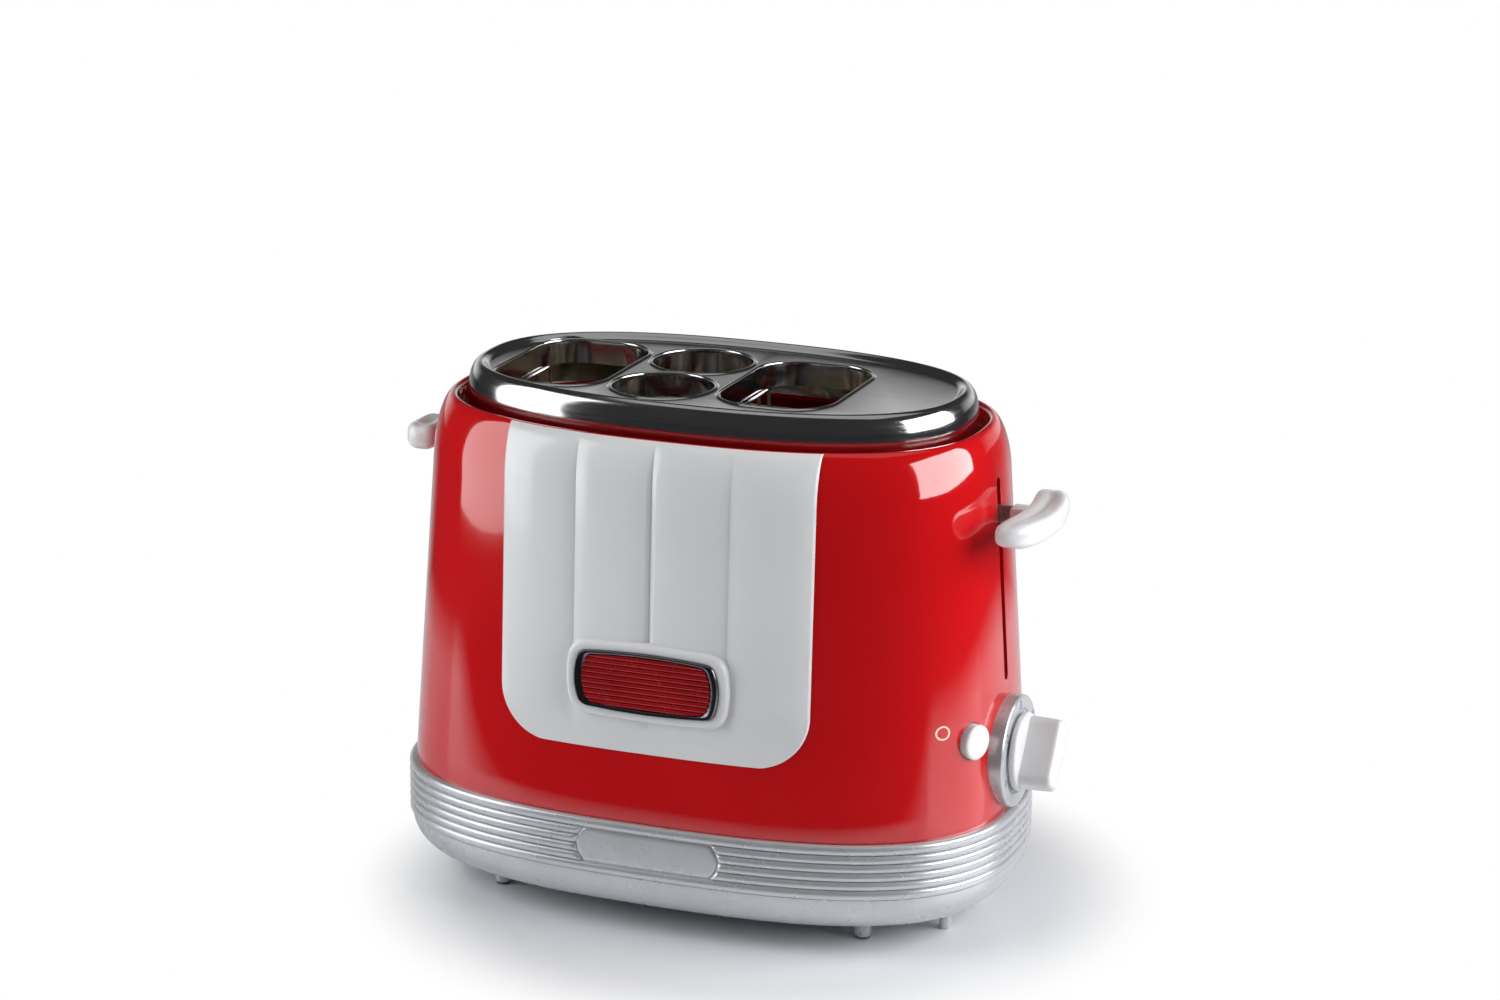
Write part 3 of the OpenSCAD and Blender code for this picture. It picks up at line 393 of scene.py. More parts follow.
@dataclass(frozen=True)
class DialSize:
    """The ring, the knob and the stop button."""

    z: float = 74
    ring_r: float = 23.4
    face_x: float = 132.77
    knob_r: float = 16.5
    skirt: float = 3
    reach: float = 150.16
    grip_w: float = 13
    grip_l: float = 30
    grip_angle: float = 35
    knob_gap: float = 0.4
    number_r: float = 19.9
    number_step: float = 58
    numbers: int = 5
    number_size: float = 5.2
    button_y: float = 32.5
    button_z: float = 87.4
    button_r: float = 7.4
    button_proud: float = 3.2
    mark_y: float = 46.1
    mark_z: float = 94
    mark_r: float = 3.0
    mark_w: float = 0.7
    mark_narrow: float = 0.92


@dataclass(frozen=True)
class CameraSize:
    """The photograph's camera, solved from its edges."""

    azimuth: float = 21.08
    elevation: float = 16.0
    roll: float = 0.5
    lens: float = 99.92
    sensor: float = 36
    place: Point = (610.06, -1548.72, 643.88)


HOUSING = HousingSize()
BASE = BaseSize()
PANEL = PanelSize()
BADGE = BadgeSize()
TOP = TopSize()
DIAL = DialSize()
CAMERA = CameraSize()

# ---------------------------------------------------------------------------------------
# Materials


class Pattern(Enum):
    """What a finish's colour follows."""

    NOISE = "noise"
    CELLS = "cells"
    TRACKS = "tracks"


@dataclass(frozen=True)
class Grain:
    """Noise in waves per metre, stretched along the axes."""

    scale: float
    detail: float = 3
    stretch: Point = (1, 1, 1)


@dataclass(frozen=True)
class Finish:
    """A procedural finish: tones, and the grains of its colour, roughness and bump.

    bump is the strength and depth in millimetres; wear is how far exposed edges turn to worn; the
    crease share is how far hollow edges are darkened with painted shade, where shade falls.
    """

    tones: tuple[Point, ...]
    grain: Grain
    rough: tuple[float, float]
    smudge: Grain
    relief: Grain
    bump: tuple[float, float]
    metallic: float = 0
    coat: float = 0
    wear: float = 0.25
    worn: Point = (0.62, 0.62, 0.62)
    pattern: Pattern = Pattern.NOISE
    crease_shade: float = 0


STEEL_WORN = (0.78, 0.78, 0.79)

FINISHES = {
    # Glossy lacquer with faint orange peel and handling smudges
    "red": Finish(((0.52, 0.0035, 0.0055), (0.58, 0.0045, 0.0070)), Grain(9, 2), (0.07, 0.11),
                  Grain(40, 4), Grain(700, 1), (0.03, 0.04), coat=0.9, wear=0.22, worn=(0.80, 0.06, 0.06)),
    # Glossy moulding, with painted shade darkening the hollows of its creases
    "white": Finish(((0.72, 0.725, 0.735), (0.765, 0.77, 0.78)), Grain(14, 2), (0.16, 0.25),
                    Grain(60, 4), Grain(900, 1), (0.03, 0.03), coat=0.3, wear=0.3, worn=(0.90, 0.90, 0.89),
                    crease_shade=0.6),
    # Satin metallic paint with a faint cloudiness
    "silver": Finish(((0.60, 0.615, 0.64), (0.64, 0.655, 0.68)), Grain(55, 3), (0.24, 0.30),
                     Grain(45, 3), Grain(420, 2), (0.02, 0.01), metallic=0.55, wear=0.08, worn=STEEL_WORN),
    # Dark chromed plastic
    "badge_dark": Finish(((0.16, 0.16, 0.17), (0.23, 0.23, 0.245)), Grain(60), (0.13, 0.24),
                         Grain(90, 4), Grain(1200, 1), (0.03, 0.02), metallic=1, wear=0.4),
    # Deep red lacquer over metal
    "badge_red": Finish(((0.36, 0.004, 0.007), (0.46, 0.006, 0.010)), Grain(50), (0.2, 0.3),
                        Grain(120), Grain(1600, 2), (0.05, 0.02), metallic=0.35, coat=0.8,
                        wear=0.35, worn=(0.72, 0.10, 0.10)),
    # Polished steel with a hint of grain round it
    "polished": Finish(((0.61, 0.61, 0.62), (0.67, 0.67, 0.68)), Grain(60, 4, (1, 1, 25)), (0.09, 0.17),
                       Grain(60, 4, (1, 1, 25)), Grain(60, 4, (1, 1, 25)), (0.05, 0.01), metallic=1,
                       worn=STEEL_WORN),
    # Finely brushed steel whose grain runs along X
    "brushed": Finish(((0.54, 0.54, 0.55), (0.62, 0.62, 0.63)), Grain(60, 4, (0.6, 40, 40)), (0.14, 0.26),
                      Grain(60, 4, (0.6, 40, 40)), Grain(60, 4, (0.6, 40, 40)), (0.10, 0.01), metallic=1,
                      worn=STEEL_WORN),
    # Zinc-plated sheet with its spangle
    "sheet": Finish(((0.42, 0.43, 0.44), (0.58, 0.59, 0.60)), Grain(160), (0.28, 0.48),
                    Grain(120, 5), Grain(800), (0.12, 0.03), metallic=1, wear=0.5, worn=STEEL_WORN,
                    pattern=Pattern.CELLS),
    # Layered mica board
    "mica": Finish(((0.20, 0.12, 0.055), (0.40, 0.28, 0.15), (0.62, 0.50, 0.32)), Grain(240, 7, (1, 1, 0.5)),
                   (0.22, 0.5), Grain(240, 7, (1, 1, 0.5)), Grain(240, 7, (1, 1, 0.5)), (0.25, 0.06),
                   worn=(0.66, 0.56, 0.42)),
    # Heating ribbon with the tints that heat leaves
    "ribbon": Finish(((0.34, 0.30, 0.28), (0.42, 0.33, 0.24), (0.26, 0.26, 0.33)), Grain(30), (0.3, 0.45),
                     Grain(300, 4), Grain(900), (0.1, 0.02), metallic=1),
    # Dark plastic with a spark-eroded grain
    "plastic": Finish(((0.018, 0.018, 0.020), (0.034, 0.034, 0.037)), Grain(1500, 4), (0.42, 0.58),
                      Grain(70, 4), Grain(1500, 4), (0.25, 0.05), worn=(0.12, 0.12, 0.12)),
    # Green lacquer over copper tracks
    "board": Finish(((0.012, 0.115, 0.040), (0.035, 0.24, 0.085)), Grain(90), (0.22, 0.34),
                    Grain(200, 4), Grain(600), (0.3, 0.04), worn=(0.30, 0.42, 0.28), pattern=Pattern.TRACKS),
    # Grey rubber
    "rubber": Finish(((0.10, 0.10, 0.105), (0.16, 0.16, 0.165)), Grain(900, 4), (0.6, 0.8),
                     Grain(150, 4), Grain(2200), (0.2, 0.04), worn=(0.24, 0.24, 0.24)),
    # Printed inks
    "ink": Finish(((0.02, 0.02, 0.022), (0.04, 0.04, 0.045)), Grain(1800, 4), (0.35, 0.5),
                  Grain(700), Grain(3000, 2), (0.1, 0.01), worn=(0.2, 0.2, 0.2)),
    "cream": Finish(((0.80, 0.66, 0.50), (0.90, 0.76, 0.60)), Grain(1800, 4), (0.35, 0.5),
                    Grain(700), Grain(3000, 2), (0.1, 0.01), worn=(0.8, 0.6, 0.5)),
    # Enamelled copper wire, wound round Z
    "copper": Finish(((0.36, 0.11, 0.04), (0.62, 0.24, 0.10)), Grain(40, 2, (1, 1, 60)), (0.2, 0.36),
                     Grain(40, 2, (1, 1, 60)), Grain(40, 2, (1, 1, 60)), (0.4, 0.1), metallic=1, coat=0.5),
    # Off-white ceramic
    "ceramic": Finish(((0.66, 0.63, 0.57), (0.76, 0.74, 0.69)), Grain(500, 5), (0.25, 0.4),
                      Grain(240, 4), Grain(900, 4), (0.1, 0.03), worn=(0.84, 0.82, 0.78)),
}


# ---------------------------------------------------------------------------------------
# Node trees


class Tree:
    """A node tree that is written from nothing."""

    def __init__(self, tree: bpy.types.NodeTree) -> None:
        """Takes the tree over and empties it."""
        self.tree = tree
        self.tree.nodes.clear()

    def node(self, kind: str, **values: object) -> Node:
        """Adds a node and sets its properties or the default values of its inputs.

        Args:
            kind: The node's type.
            values: Properties by name, or inputs with an underscore for each space.

        Returns:
            The node.
        """
        made = self.tree.nodes.new(kind)
        for key, value in values.items():
            if hasattr(made, key):
                setattr(made, key, value)
            else:
                made.inputs[key.replace("_", " ")].default_value = value
        return made

    def link(self, source: Node, output: str | int, target: Node,
             socket: str | int) -> None:
        """Joins two sockets given by name or index."""
        self.tree.links.new(source.outputs[output], target.inputs[socket])

    def span(self, source: Node, output: str, start: Pair, stop: Pair,
             smooth: bool = False) -> Node:
        """Maps a value from one range to another.

        Args:
            source: The node that gives the value.
            output: Its socket.
            start: The range it comes from.
            stop: The range it goes to.
            smooth: Whether it eases in and out.

        Returns:
            The node, whose output is called Result.
        """
        made = self.node("ShaderNodeMapRange", From_Min=start[0], From_Max=start[1], To_Min=stop[0],
                         To_Max=stop[1], interpolation_type="SMOOTHSTEP" if smooth else "LINEAR")
        self.link(source, output, made, "Value")
        return made

    def maths(self, operation: str, *values: Socket | float) -> Node:
        """A maths node.

        Args:
            operation: What it does.
            values: Sockets or numbers to do it with.

        Returns:
            The node, whose output is called Value.
        """
        made = self.node("ShaderNodeMath", operation=operation)
        for k, value in enumerate(values):
            if isinstance(value, tuple):
                self.link(*value, made, k)
            else:
                made.inputs[k].default_value = value
        return made

    def blend(self, share: Socket, first: Socket, second: Socket) -> Node:
        """Mixes two shaders.

        Args:
            share: How much of the second one there is.
            first: The shader at a share of 0.
            second: The shader at a share of 1.

        Returns:
            The node, whose output is called Shader.
        """
        made = self.node("ShaderNodeMixShader")
        for k, socket in enumerate((share, first, second)):
            self.link(*socket, made, k)
        return made


class Painter(Tree):
    """Writes one material's node tree."""

    EDGES = (0.57, 0.66)
    # HOLLOWS and the hollow tone set the painted shade that darkens hollow edges
    HOLLOWS = (0.42, 0.495)
    HOLLOW_SHADE_TONE = 0.45
    COAT_ROUGHNESS = 0.03
    WORN_ROUGHNESS = 0.3

    def __init__(self, name: str) -> None:
        """Starts the material with a shader, its output and the texture coordinates."""
        self.material = bpy.data.materials.new(name + "_finish")
        self.material.use_nodes = True
        super().__init__(self.material.node_tree)
        self.shader = self.node("ShaderNodeBsdfPrincipled")
        self.out = self.node("ShaderNodeOutputMaterial")
        self.link(self.shader, "BSDF", self.out, "Surface")
        self.place = self.node("ShaderNodeTexCoord")

    def set(self, **values: object) -> None:
        """Sets sockets of the shader itself."""
        for key, value in values.items():
            self.shader.inputs[key.replace("_", " ")].default_value = value

    def coordinates(self, stretch: Point = (1, 1, 1)) -> Node:
        """Object coordinates.

        Args:
            stretch: How much each axis is stretched.

        Returns:
            The node, whose output is called Vector.
        """
        mapping = self.node("ShaderNodeMapping", Scale=stretch)
        self.link(self.place, "Object", mapping, "Vector")
        return mapping

    def noise(self, grain: Grain) -> Node:
        """A noise texture.

        Args:
            grain: Its waves.

        Returns:
            The node, whose value is called Fac.
        """
        made = self.node("ShaderNodeTexNoise", Scale=grain.scale, Detail=grain.detail)
        self.link(self.coordinates(grain.stretch), "Vector", made, "Vector")
        return made

    def pattern(self, finish: Finish) -> Socket:
        """The texture that a finish's colour follows.

        Args:
            finish: The finish.

        Returns:
            The texture's node and its socket.
        """
        if finish.pattern is Pattern.NOISE:
            return self.noise(finish.grain), "Fac"
        if finish.pattern is Pattern.CELLS:
            made = self.node("ShaderNodeTexVoronoi", Scale=finish.grain.scale)
            self.link(self.coordinates(), "Vector", made, "Vector")
            return made, "Color"
        made = self.node("ShaderNodeTexBrick", Scale=finish.grain.scale, Mortar_Size=0.03,
                         Color1=(0.3, 0.3, 0.3, 1), Color2=(0.36, 0.36, 0.36, 1), Mortar=(0.7, 0.7, 0.7, 1))
        turned = self.coordinates()
        turned.inputs["Rotation"].default_value = (0, math.radians(90), 0)
        self.link(turned, "Vector", made, "Vector")
        return made, "Color"

    def ramp(self, finish: Finish) -> Socket:
        """The finish's tones, laid over its pattern.

        Args:
            finish: The finish.

        Returns:
            The ramp's node and its socket.
        """
        made = self.node("ShaderNodeValToRGB")
        stops = made.color_ramp.elements
        while len(stops) < len(finish.tones):
            stops.new(0.5)
        for k, (stop, tone) in enumerate(zip(stops, finish.tones)):
            stop.position = 0.3 + 0.4 * k / (len(finish.tones) - 1)
            stop.color = (*tone, 1)
        self.link(*self.pattern(finish), made, "Fac")
        return made, "Color"

    def tint(self, colour: Socket, share: Socket, tone: Point) -> Socket:
        """Mixes a tone into a colour.

        Args:
            colour: The colour's socket.
            share: How much of the tone there is.
            tone: The tone.

        Returns:
            The node and the socket of the mixed colour.
        """
        made = self.node("ShaderNodeMix", data_type="RGBA")
        self.link(*share, made, 0)
        self.link(*colour, made, 6)
        made.inputs[7].default_value = (*tone, 1)
        return made, 2

    def dress(self, finish: Finish) -> bpy.types.Material:
        """Writes a finish's colour, roughness, bump and wear, and darkens its hollow edges with painted
        shade.

        Args:
            finish: The finish.

        Returns:
            The material.
        """
        self.set(Metallic=finish.metallic, Coat_Weight=finish.coat, Coat_Roughness=self.COAT_ROUGHNESS)
        smudge = self.noise(finish.smudge)
        shape = self.node("ShaderNodeNewGeometry")
        edges = self.span(shape, "Pointiness", self.EDGES, (0, finish.wear), True)
        patchy = self.span(smudge, "Fac", (0.35, 0.65), (0.3, 1.0))
        worn = self.maths("MULTIPLY", (edges, "Result"), (patchy, "Result"))
        # Painted shade: hollow edges get a darker copy of the first tone, where shade would fall
        hollow_shade = self.span(shape, "Pointiness", self.HOLLOWS, (finish.crease_shade, 0), True)
        shade = tuple(self.HOLLOW_SHADE_TONE * tone for tone in finish.tones[0])
        rubbed_off = self.tint(self.ramp(finish), (worn, "Value"), finish.worn)
        self.link(*self.tint(rubbed_off, (hollow_shade, "Result"), shade), self.shader, "Base Color")
        rough = self.span(smudge, "Fac", (0.3, 0.7), finish.rough)
        rubbed = self.maths("MULTIPLY_ADD", (worn, "Value"), self.WORN_ROUGHNESS, (rough, "Result"))
        self.link(rubbed, "Value", self.shader, "Roughness")
        bump = self.node("ShaderNodeBump", Strength=finish.bump[0], Distance=finish.bump[1] * MM)
        self.link(self.noise(finish.relief), "Fac", bump, "Height")
        self.link(bump, "Normal", self.shader, "Normal")
        return self.material


class Paintbox:
    """Every finish of the toaster, made once and looked up by name."""

    def __init__(self) -> None:
        """Makes a material of each finish."""
        self.by_name = {name: Painter(name).dress(finish) for name, finish in FINISHES.items()}
        LOG.info("finishes: %s", ", ".join(self.by_name))

    def __getitem__(self, name: str) -> bpy.types.Material:
        """The material of a finish."""
        return self.by_name[name]


class GroupWriter(Tree):
    """Writes a Geometry Nodes group that ends in a moved, real and painted mesh."""

    def __init__(self, name: str, inputs: dict[str, str]) -> None:
        """Starts the group.

        Args:
            name: The group's name.
            inputs: Names and kinds of its own inputs. Geometry, Centre and Material come of themselves.
        """
        group = bpy.data.node_groups.new(name, "GeometryNodeTree")
        for way in ("OUTPUT", "INPUT"):
            group.interface.new_socket("Geometry", in_out=way, socket_type="NodeSocketGeometry")
        for label, kind in {**inputs, "Centre": "Vector", "Material": "Material"}.items():
            group.interface.new_socket(label, in_out="INPUT", socket_type="NodeSocket" + kind)
        super().__init__(group)
        self.start = self.node("NodeGroupInput")

    def feed(self, label: str, target: Node, socket: str | int) -> None:
        """Leads one of the group's inputs to a node."""
        self.link(self.start, label, target, socket)

    def end(self, shape: Node) -> bpy.types.NodeTree:
        """Moves the shape to Centre, makes it real and paints it.

        Args:
            shape: The node whose first output is the shape.

        Returns:
            The group.
        """
        move = self.node("GeometryNodeTransform")
        real = self.node("GeometryNodeRealizeInstances")
        paint = self.node("GeometryNodeSetMaterial")
        self.link(shape, 0, move, "Geometry")
        self.feed("Centre", move, "Translation")
        self.link(move, 0, real, 0)
        self.link(real, 0, paint, "Geometry")
        self.feed("Material", paint, "Material")
        self.link(paint, 0, self.node("NodeGroupOutput"), 0)
        return self.tree


def repeat_group() -> bpy.types.NodeTree:
    """A group that copies a mesh Count times, each moved by Step.

    Returns:
        The group.
    """
    group = GroupWriter("repeat", {"Count": "Int", "Step": "Vector"})
    line = group.node("GeometryNodeMeshLine", mode="OFFSET")
    copies = group.node("GeometryNodeInstanceOnPoints")
    group.feed("Count", line, "Count")
    group.feed("Step", line, "Offset")
    group.link(line, 0, copies, "Points")
    group.feed("Geometry", copies, "Instance")
    return group.end(copies)


def coil_group() -> bpy.types.NodeTree:
    """A group that winds a wire along Z.

    Returns:
        The group.
    """
    group = GroupWriter("coil", {"Turns": "Float", "Radius": "Float", "Height": "Float", "Wire": "Float"})
    spiral = group.node("GeometryNodeCurveSpiral", Resolution=40)
    profile = group.node("GeometryNodeCurvePrimitiveCircle", Resolution=12)
    wire = group.node("GeometryNodeCurveToMesh", Fill_Caps=True)
    for label, socket in (("Turns", "Rotations"), ("Radius", "Start Radius"), ("Radius", "End Radius"),
                          ("Height", "Height")):
        group.feed(label, spiral, socket)
    group.feed("Wire", profile, "Radius")
    group.link(spiral, 0, wire, "Curve")
    group.link(profile, 0, wire, "Profile Curve")
    return group.end(wire)


# ---------------------------------------------------------------------------------------
# Meshes


def in_scene(name: str, data: bpy.types.ID) -> Obj:
    """Puts a new object into the scene.

    Args:
        name: Its name.
        data: Its mesh, curve, camera or light.

    Returns:
        The object.
    """
    obj = bpy.data.objects.new(name, data)
    bpy.context.scene.collection.objects.link(obj)
    return obj


def mesh_of(obj: Obj) -> bpy.types.Mesh:
    """The mesh that an object shows.

    Args:
        obj: An object with modifiers, or a text.

    Returns:
        A mesh of its own.
    """
    bpy.context.view_layer.update()
    graph = bpy.context.evaluated_depsgraph_get()
    return bpy.data.meshes.new_from_object(obj.evaluated_get(graph), depsgraph=graph)


@contextmanager
def editing(obj: Obj) -> Iterator[bmesh.types.BMesh]:
    """Opens an object's mesh for changes and writes it back at the end.

    Args:
        obj: The object.

    Yields:
        The open mesh.
    """
    work = bmesh.new()
    work.from_mesh(obj.data)
    yield work
    work.to_mesh(obj.data)
    work.free()


class Workshop:
    """Makes meshes in millimetres from the housing's middle and hands them in as pieces."""

    def __init__(self, paints: Paintbox) -> None:
        """Finds the housing's middle in the frame and writes the node groups."""
        low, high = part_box("housing")
        self.shift = (low.x + high.x) / 2 / MM
        self.paints = paints
        self.repeat_group = repeat_group()
        self.coil_group = coil_group()

    def span_of(self, node: str) -> tuple[Point, Point]:
        """The corners of a CAD node's box."""
        low, high = ((v.x / MM - self.shift, v.y / MM, v.z / MM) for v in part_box(node))
        return low, high

    def metres(self, point: Point) -> Vector:
        """A point of the toaster in the frame's metres."""
        return Vector((point[0] + self.shift, point[1], point[2])) * MM

    def mesh(self, name: str, points: Points, faces: Sequence[Sequence[int]],
             uvs: np.ndarray | None = None) -> Obj:
        """An object from points in millimetres, in the frame's metres.

        Args:
            name: Its name.
            points: Its points.
            faces: Its faces, as numbers of points.
            uvs: A place on the texture for each point.

        Returns:
            The object.
        """
        placed = (np.asarray(points, float) + (self.shift, 0, 0)) * MM
        data = bpy.data.meshes.new(name)
        data.from_pydata(placed.tolist(), [], [list(map(int, f)) for f in faces])
        if uvs is not None:
            layer = data.uv_layers.new(name="UVMap")
            corner_of = np.empty(len(data.loops), np.int32)
            data.loops.foreach_get("vertex_index", corner_of)
            layer.data.foreach_set("uv", np.asarray(uvs, np.float32)[corner_of].ravel())
        data.validate()
        return in_scene(name, data)

    def lattice(self, name: str, grid: Sequence[Points], wrap: bool = False, loop: bool = False,
                caps: tuple[bool, bool] = (False, False)) -> Obj:
        """A mesh over a grid of points.

        Args:
            name: Its name.
            grid: Rows of points; rows run up and points run anticlockwise on an outer wall.
            wrap: Whether the last point of a row joins its first.
            loop: Whether the last row joins the first.
            caps: Whether the first and the last row are closed by a face.

        Returns:
            The object, with UVs in metres along the grid.
        """
        grid = np.asarray(grid, float)
        rows, cols = grid.shape[:2]
        index = np.arange(rows * cols).reshape(rows, cols)
        right = np.roll(index, -1, axis=1)
        if not wrap:
            index, right = index[:, :-1], right[:, :-1]
        low, low_right = (index, right) if loop else (index[:-1], right[:-1])
        high, high_right = (np.roll(index, -1, axis=0), np.roll(right, -1, axis=0))
        if not loop:
            high, high_right = high[:-1], high_right[:-1]
        faces = np.stack([low, low_right, high_right, high], axis=-1).reshape(-1, 4).tolist()
        if caps[0]:
            faces.append(list(range(cols))[::-1])
        if caps[1]:
            faces.append([(rows - 1) * cols + k for k in range(cols)])
        across = np.linalg.norm(np.diff(grid, axis=1), axis=2).cumsum(axis=1)
        up = np.linalg.norm(np.diff(grid, axis=0), axis=2).cumsum(axis=0)
        u = np.hstack([np.zeros((rows, 1)), across])
        v = np.vstack([np.zeros((1, cols)), up])
        uvs = np.stack([u, v], axis=-1).reshape(-1, 2) * MM
        return self.mesh(name, grid.reshape(-1, 3), faces, uvs)

    def stack(self, name: str, rows: Sequence[tuple[Plan, float]], loop: bool = False,
              caps: tuple[bool, bool] = (False, False)) -> Obj:
        """A loft of ovals, given as pairs of a plan and a height."""
        grid = [upright(plan.ring(even_angles(288)), z) for plan, z in rows]
        return self.lattice(name, grid, wrap=True, loop=loop, caps=caps)

    def sweep(self, name: str, outline: Outline, rows: Sequence[Pair], place: Placer,
              loop: bool = False, caps: tuple[bool, bool] = (False, False)) -> Obj:
        """A loft of one outline, given as pairs of a growth and a height."""
        grid = [place(outline(grow), height) for grow, height in rows]
        return self.lattice(name, grid, wrap=True, loop=loop, caps=caps)

    def lathe(self, name: str, profile: Sequence[Pair], centre: Point, axis: Point = (0, 0, 1),
              steps: int = 96) -> Obj:
        """A turned piece.

        Args:
            name: Its name.
            profile: Pairs of a radius and a height along the axis.
            centre: Where the heights start.
            axis: Which way they run.
            steps: How many faces it has round the axis.

        Returns:
            The object.
        """
        angles = even_angles(steps)
        turn = Vector((0, 0, 1)).rotation_difference(Vector(axis)).to_matrix()
        grid = []
        for radius, height in profile:
            ring = np.column_stack([radius * np.cos(angles), radius * np.sin(angles),
                                    np.full(steps, height)])
            grid.append(ring @ np.array(turn).T + np.array(centre))
        caps = (profile[0][0] > 1e-6, profile[-1][0] > 1e-6)
        return self.lattice(name, grid, wrap=True, caps=caps)

    def tube(self, name: str, path: Points, radius: float, closed: bool = False) -> Obj:
        """A round wire.

        Args:
            name: Its name.
            path: The points it runs through.
            radius: Its radius.
            closed: Whether it returns to its start. Otherwise its ends are closed by faces.

        Returns:
            The object.
        """
        path = np.asarray(path, float)
        turn = even_angles(12)[:, None]
        grid = []
        normal = None
        count = len(path)
        for k, place in enumerate(path):
            before = path[(k - 1) % count] if closed or k else place
            after = path[(k + 1) % count] if closed or k < count - 1 else place
            along = Vector(after - before).normalized()
            if normal is None:
                normal = along.orthogonal().normalized()
            normal = (normal - along * normal.dot(along)).normalized()
            side = along.cross(normal)
            grid.append(place + radius * (np.cos(turn) * np.array(normal) + np.sin(turn) * np.array(side)))
        return self.lattice(name, grid, wrap=True, loop=closed, caps=(not closed, not closed))

    def block(self, name: str, low: Point, high: Point) -> Obj:
        """A box.

        Args:
            name: Its name.
            low: Its low corner.
            high: Its high corner.

        Returns:
            The object.
        """
        xs, ys, zs = zip(low, high)
        points = [(x, y, z) for z in zs for y in ys for x in xs]
        faces = [(0, 2, 3, 1), (4, 5, 7, 6), (0, 1, 5, 4), (1, 3, 7, 5), (3, 2, 6, 7), (2, 0, 4, 6)]
        return self.mesh(name, points, faces)

    @staticmethod
    def evaluated(obj: Obj) -> Obj:
        """Applies an object's modifiers to its mesh.

        Args:
            obj: The object.

        Returns:
            The same object.
        """
        data, old = mesh_of(obj), obj.data
        obj.modifiers.clear()
        obj.data = data
        if old.users == 0:
            bpy.data.meshes.remove(old)
        return obj

    def carve(self, obj: Obj, *tools: Obj, operation: str = "DIFFERENCE") -> None:
        """Cuts tools out of an object, or keeps what they share with it.

        Args:
            obj: The object.
            tools: The objects that cut it, which are removed.
            operation: DIFFERENCE or INTERSECT.
        """
        for tool in tools:
            cut = obj.modifiers.new("cut", "BOOLEAN")
            cut.operation, cut.solver, cut.object = operation, "EXACT", tool
        self.evaluated(obj)
        for tool in tools:
            bpy.data.objects.remove(tool)

    def bevel(self, obj: Obj, width: float, segments: int = 3, angle: float = 30) -> Obj:
        """Rounds an object's edges.

        Args:
            obj: The object.
            width: Width of the rounding in millimetres.
            segments: How many faces it has across.
            angle: Edges flatter than this stay as they are, in degrees.

        Returns:
            The same object.
        """
        made = obj.modifiers.new("bevel", "BEVEL")
        made.width, made.segments, made.limit_method = width * MM, segments, "ANGLE"
        made.angle_limit = math.radians(angle)
        return self.evaluated(obj)

    def thicken(self, obj: Obj, thickness: float) -> Obj:
        """Gives a surface a thickness inwards.

        Args:
            obj: The object.
            thickness: Its thickness in millimetres.

        Returns:
            The same object.
        """
        made = obj.modifiers.new("thicken", "SOLIDIFY")
        made.thickness, made.offset = thickness * MM, -1
        return self.evaluated(obj)

    @staticmethod
    def smooth(obj: Obj, angle: float = 30) -> Obj:
        """Shades an object smooth.

        Args:
            obj: The object.
            angle: Edges sharper than this stay sharp, in degrees.

        Returns:
            The same object.
        """
        limit = math.radians(angle)
        with editing(obj) as work:
            for face in work.faces:
                face.smooth = True
            for edge in work.edges:
                edge.smooth = len(edge.link_faces) != 2 or edge.calc_face_angle() < limit
        return obj

    @staticmethod
    def outwards(obj: Obj) -> Obj:
        """Turns all faces of a closed mesh outwards, and returns the object."""
        with editing(obj) as work:
            bmesh.ops.recalc_face_normals(work, faces=work.faces)
        return obj

    def close(self, obj: Obj) -> Obj:
        """Fills an object's holes with faces, turns all faces outwards and returns it."""
        with editing(obj) as work:
            bmesh.ops.holes_fill(work, edges=work.edges)
        return self.outwards(obj)

    @staticmethod
    def join(name: str, objects: Sequence[Obj]) -> Obj:
        """Joins objects into the first.

        Args:
            name: The name it gets.
            objects: The objects.

        Returns:
            The first object.
        """
        work = bmesh.new()
        for obj in objects:
            work.from_mesh(obj.data)
        work.to_mesh(objects[0].data)
        work.free()
        for obj in objects[1:]:
            bpy.data.objects.remove(obj)
        objects[0].name = name
        objects[0].data.name = name
        return objects[0]

    def run_group(self, obj: Obj, group: bpy.types.NodeTree, **values: object) -> Obj:
        """Runs a node group on an object and keeps its result as the mesh.

        Args:
            obj: The object.
            group: The node group.
            values: The group's inputs by name.

        Returns:
            The same object.
        """
        made = obj.modifiers.new(group.name, "NODES")
        made.node_group = group
        for item in group.interface.items_tree:
            if item.item_type == "SOCKET" and item.in_out == "INPUT" and item.name in values:
                made[item.identifier] = values[item.name]
        return self.evaluated(obj)

    def repeat(self, obj: Obj, count: int, step: Point, paint: str) -> Obj:
        """Repeats an object's mesh along a line."""
        return self.run_group(obj, self.repeat_group, Count=count, Step=[s * MM for s in step],
                              Centre=(0.0, 0.0, 0.0), Material=self.paints[paint])

    def coil(self, name: str, turns: float, radius: float, wire: float, low: Point, height: float,
             paint: str) -> Obj:
        """A wound spring.

        Args:
            name: Its name.
            turns: How many turns it has.
            radius: From its axis to the middle of the wire.
            wire: The wire's radius.
            low: The middle of its foot.
            height: Its full height.
            paint: The finish.

        Returns:
            The object.
        """
        obj = self.mesh(name, [(0, 0, 0)], [])
        centre = self.metres((low[0], low[1], low[2] + wire))
        return self.run_group(obj, self.coil_group, Turns=float(turns), Radius=radius * MM,
                              Height=(height - 2 * wire) * MM, Wire=wire * MM, Centre=list(centre),
                              Material=self.paints[paint])

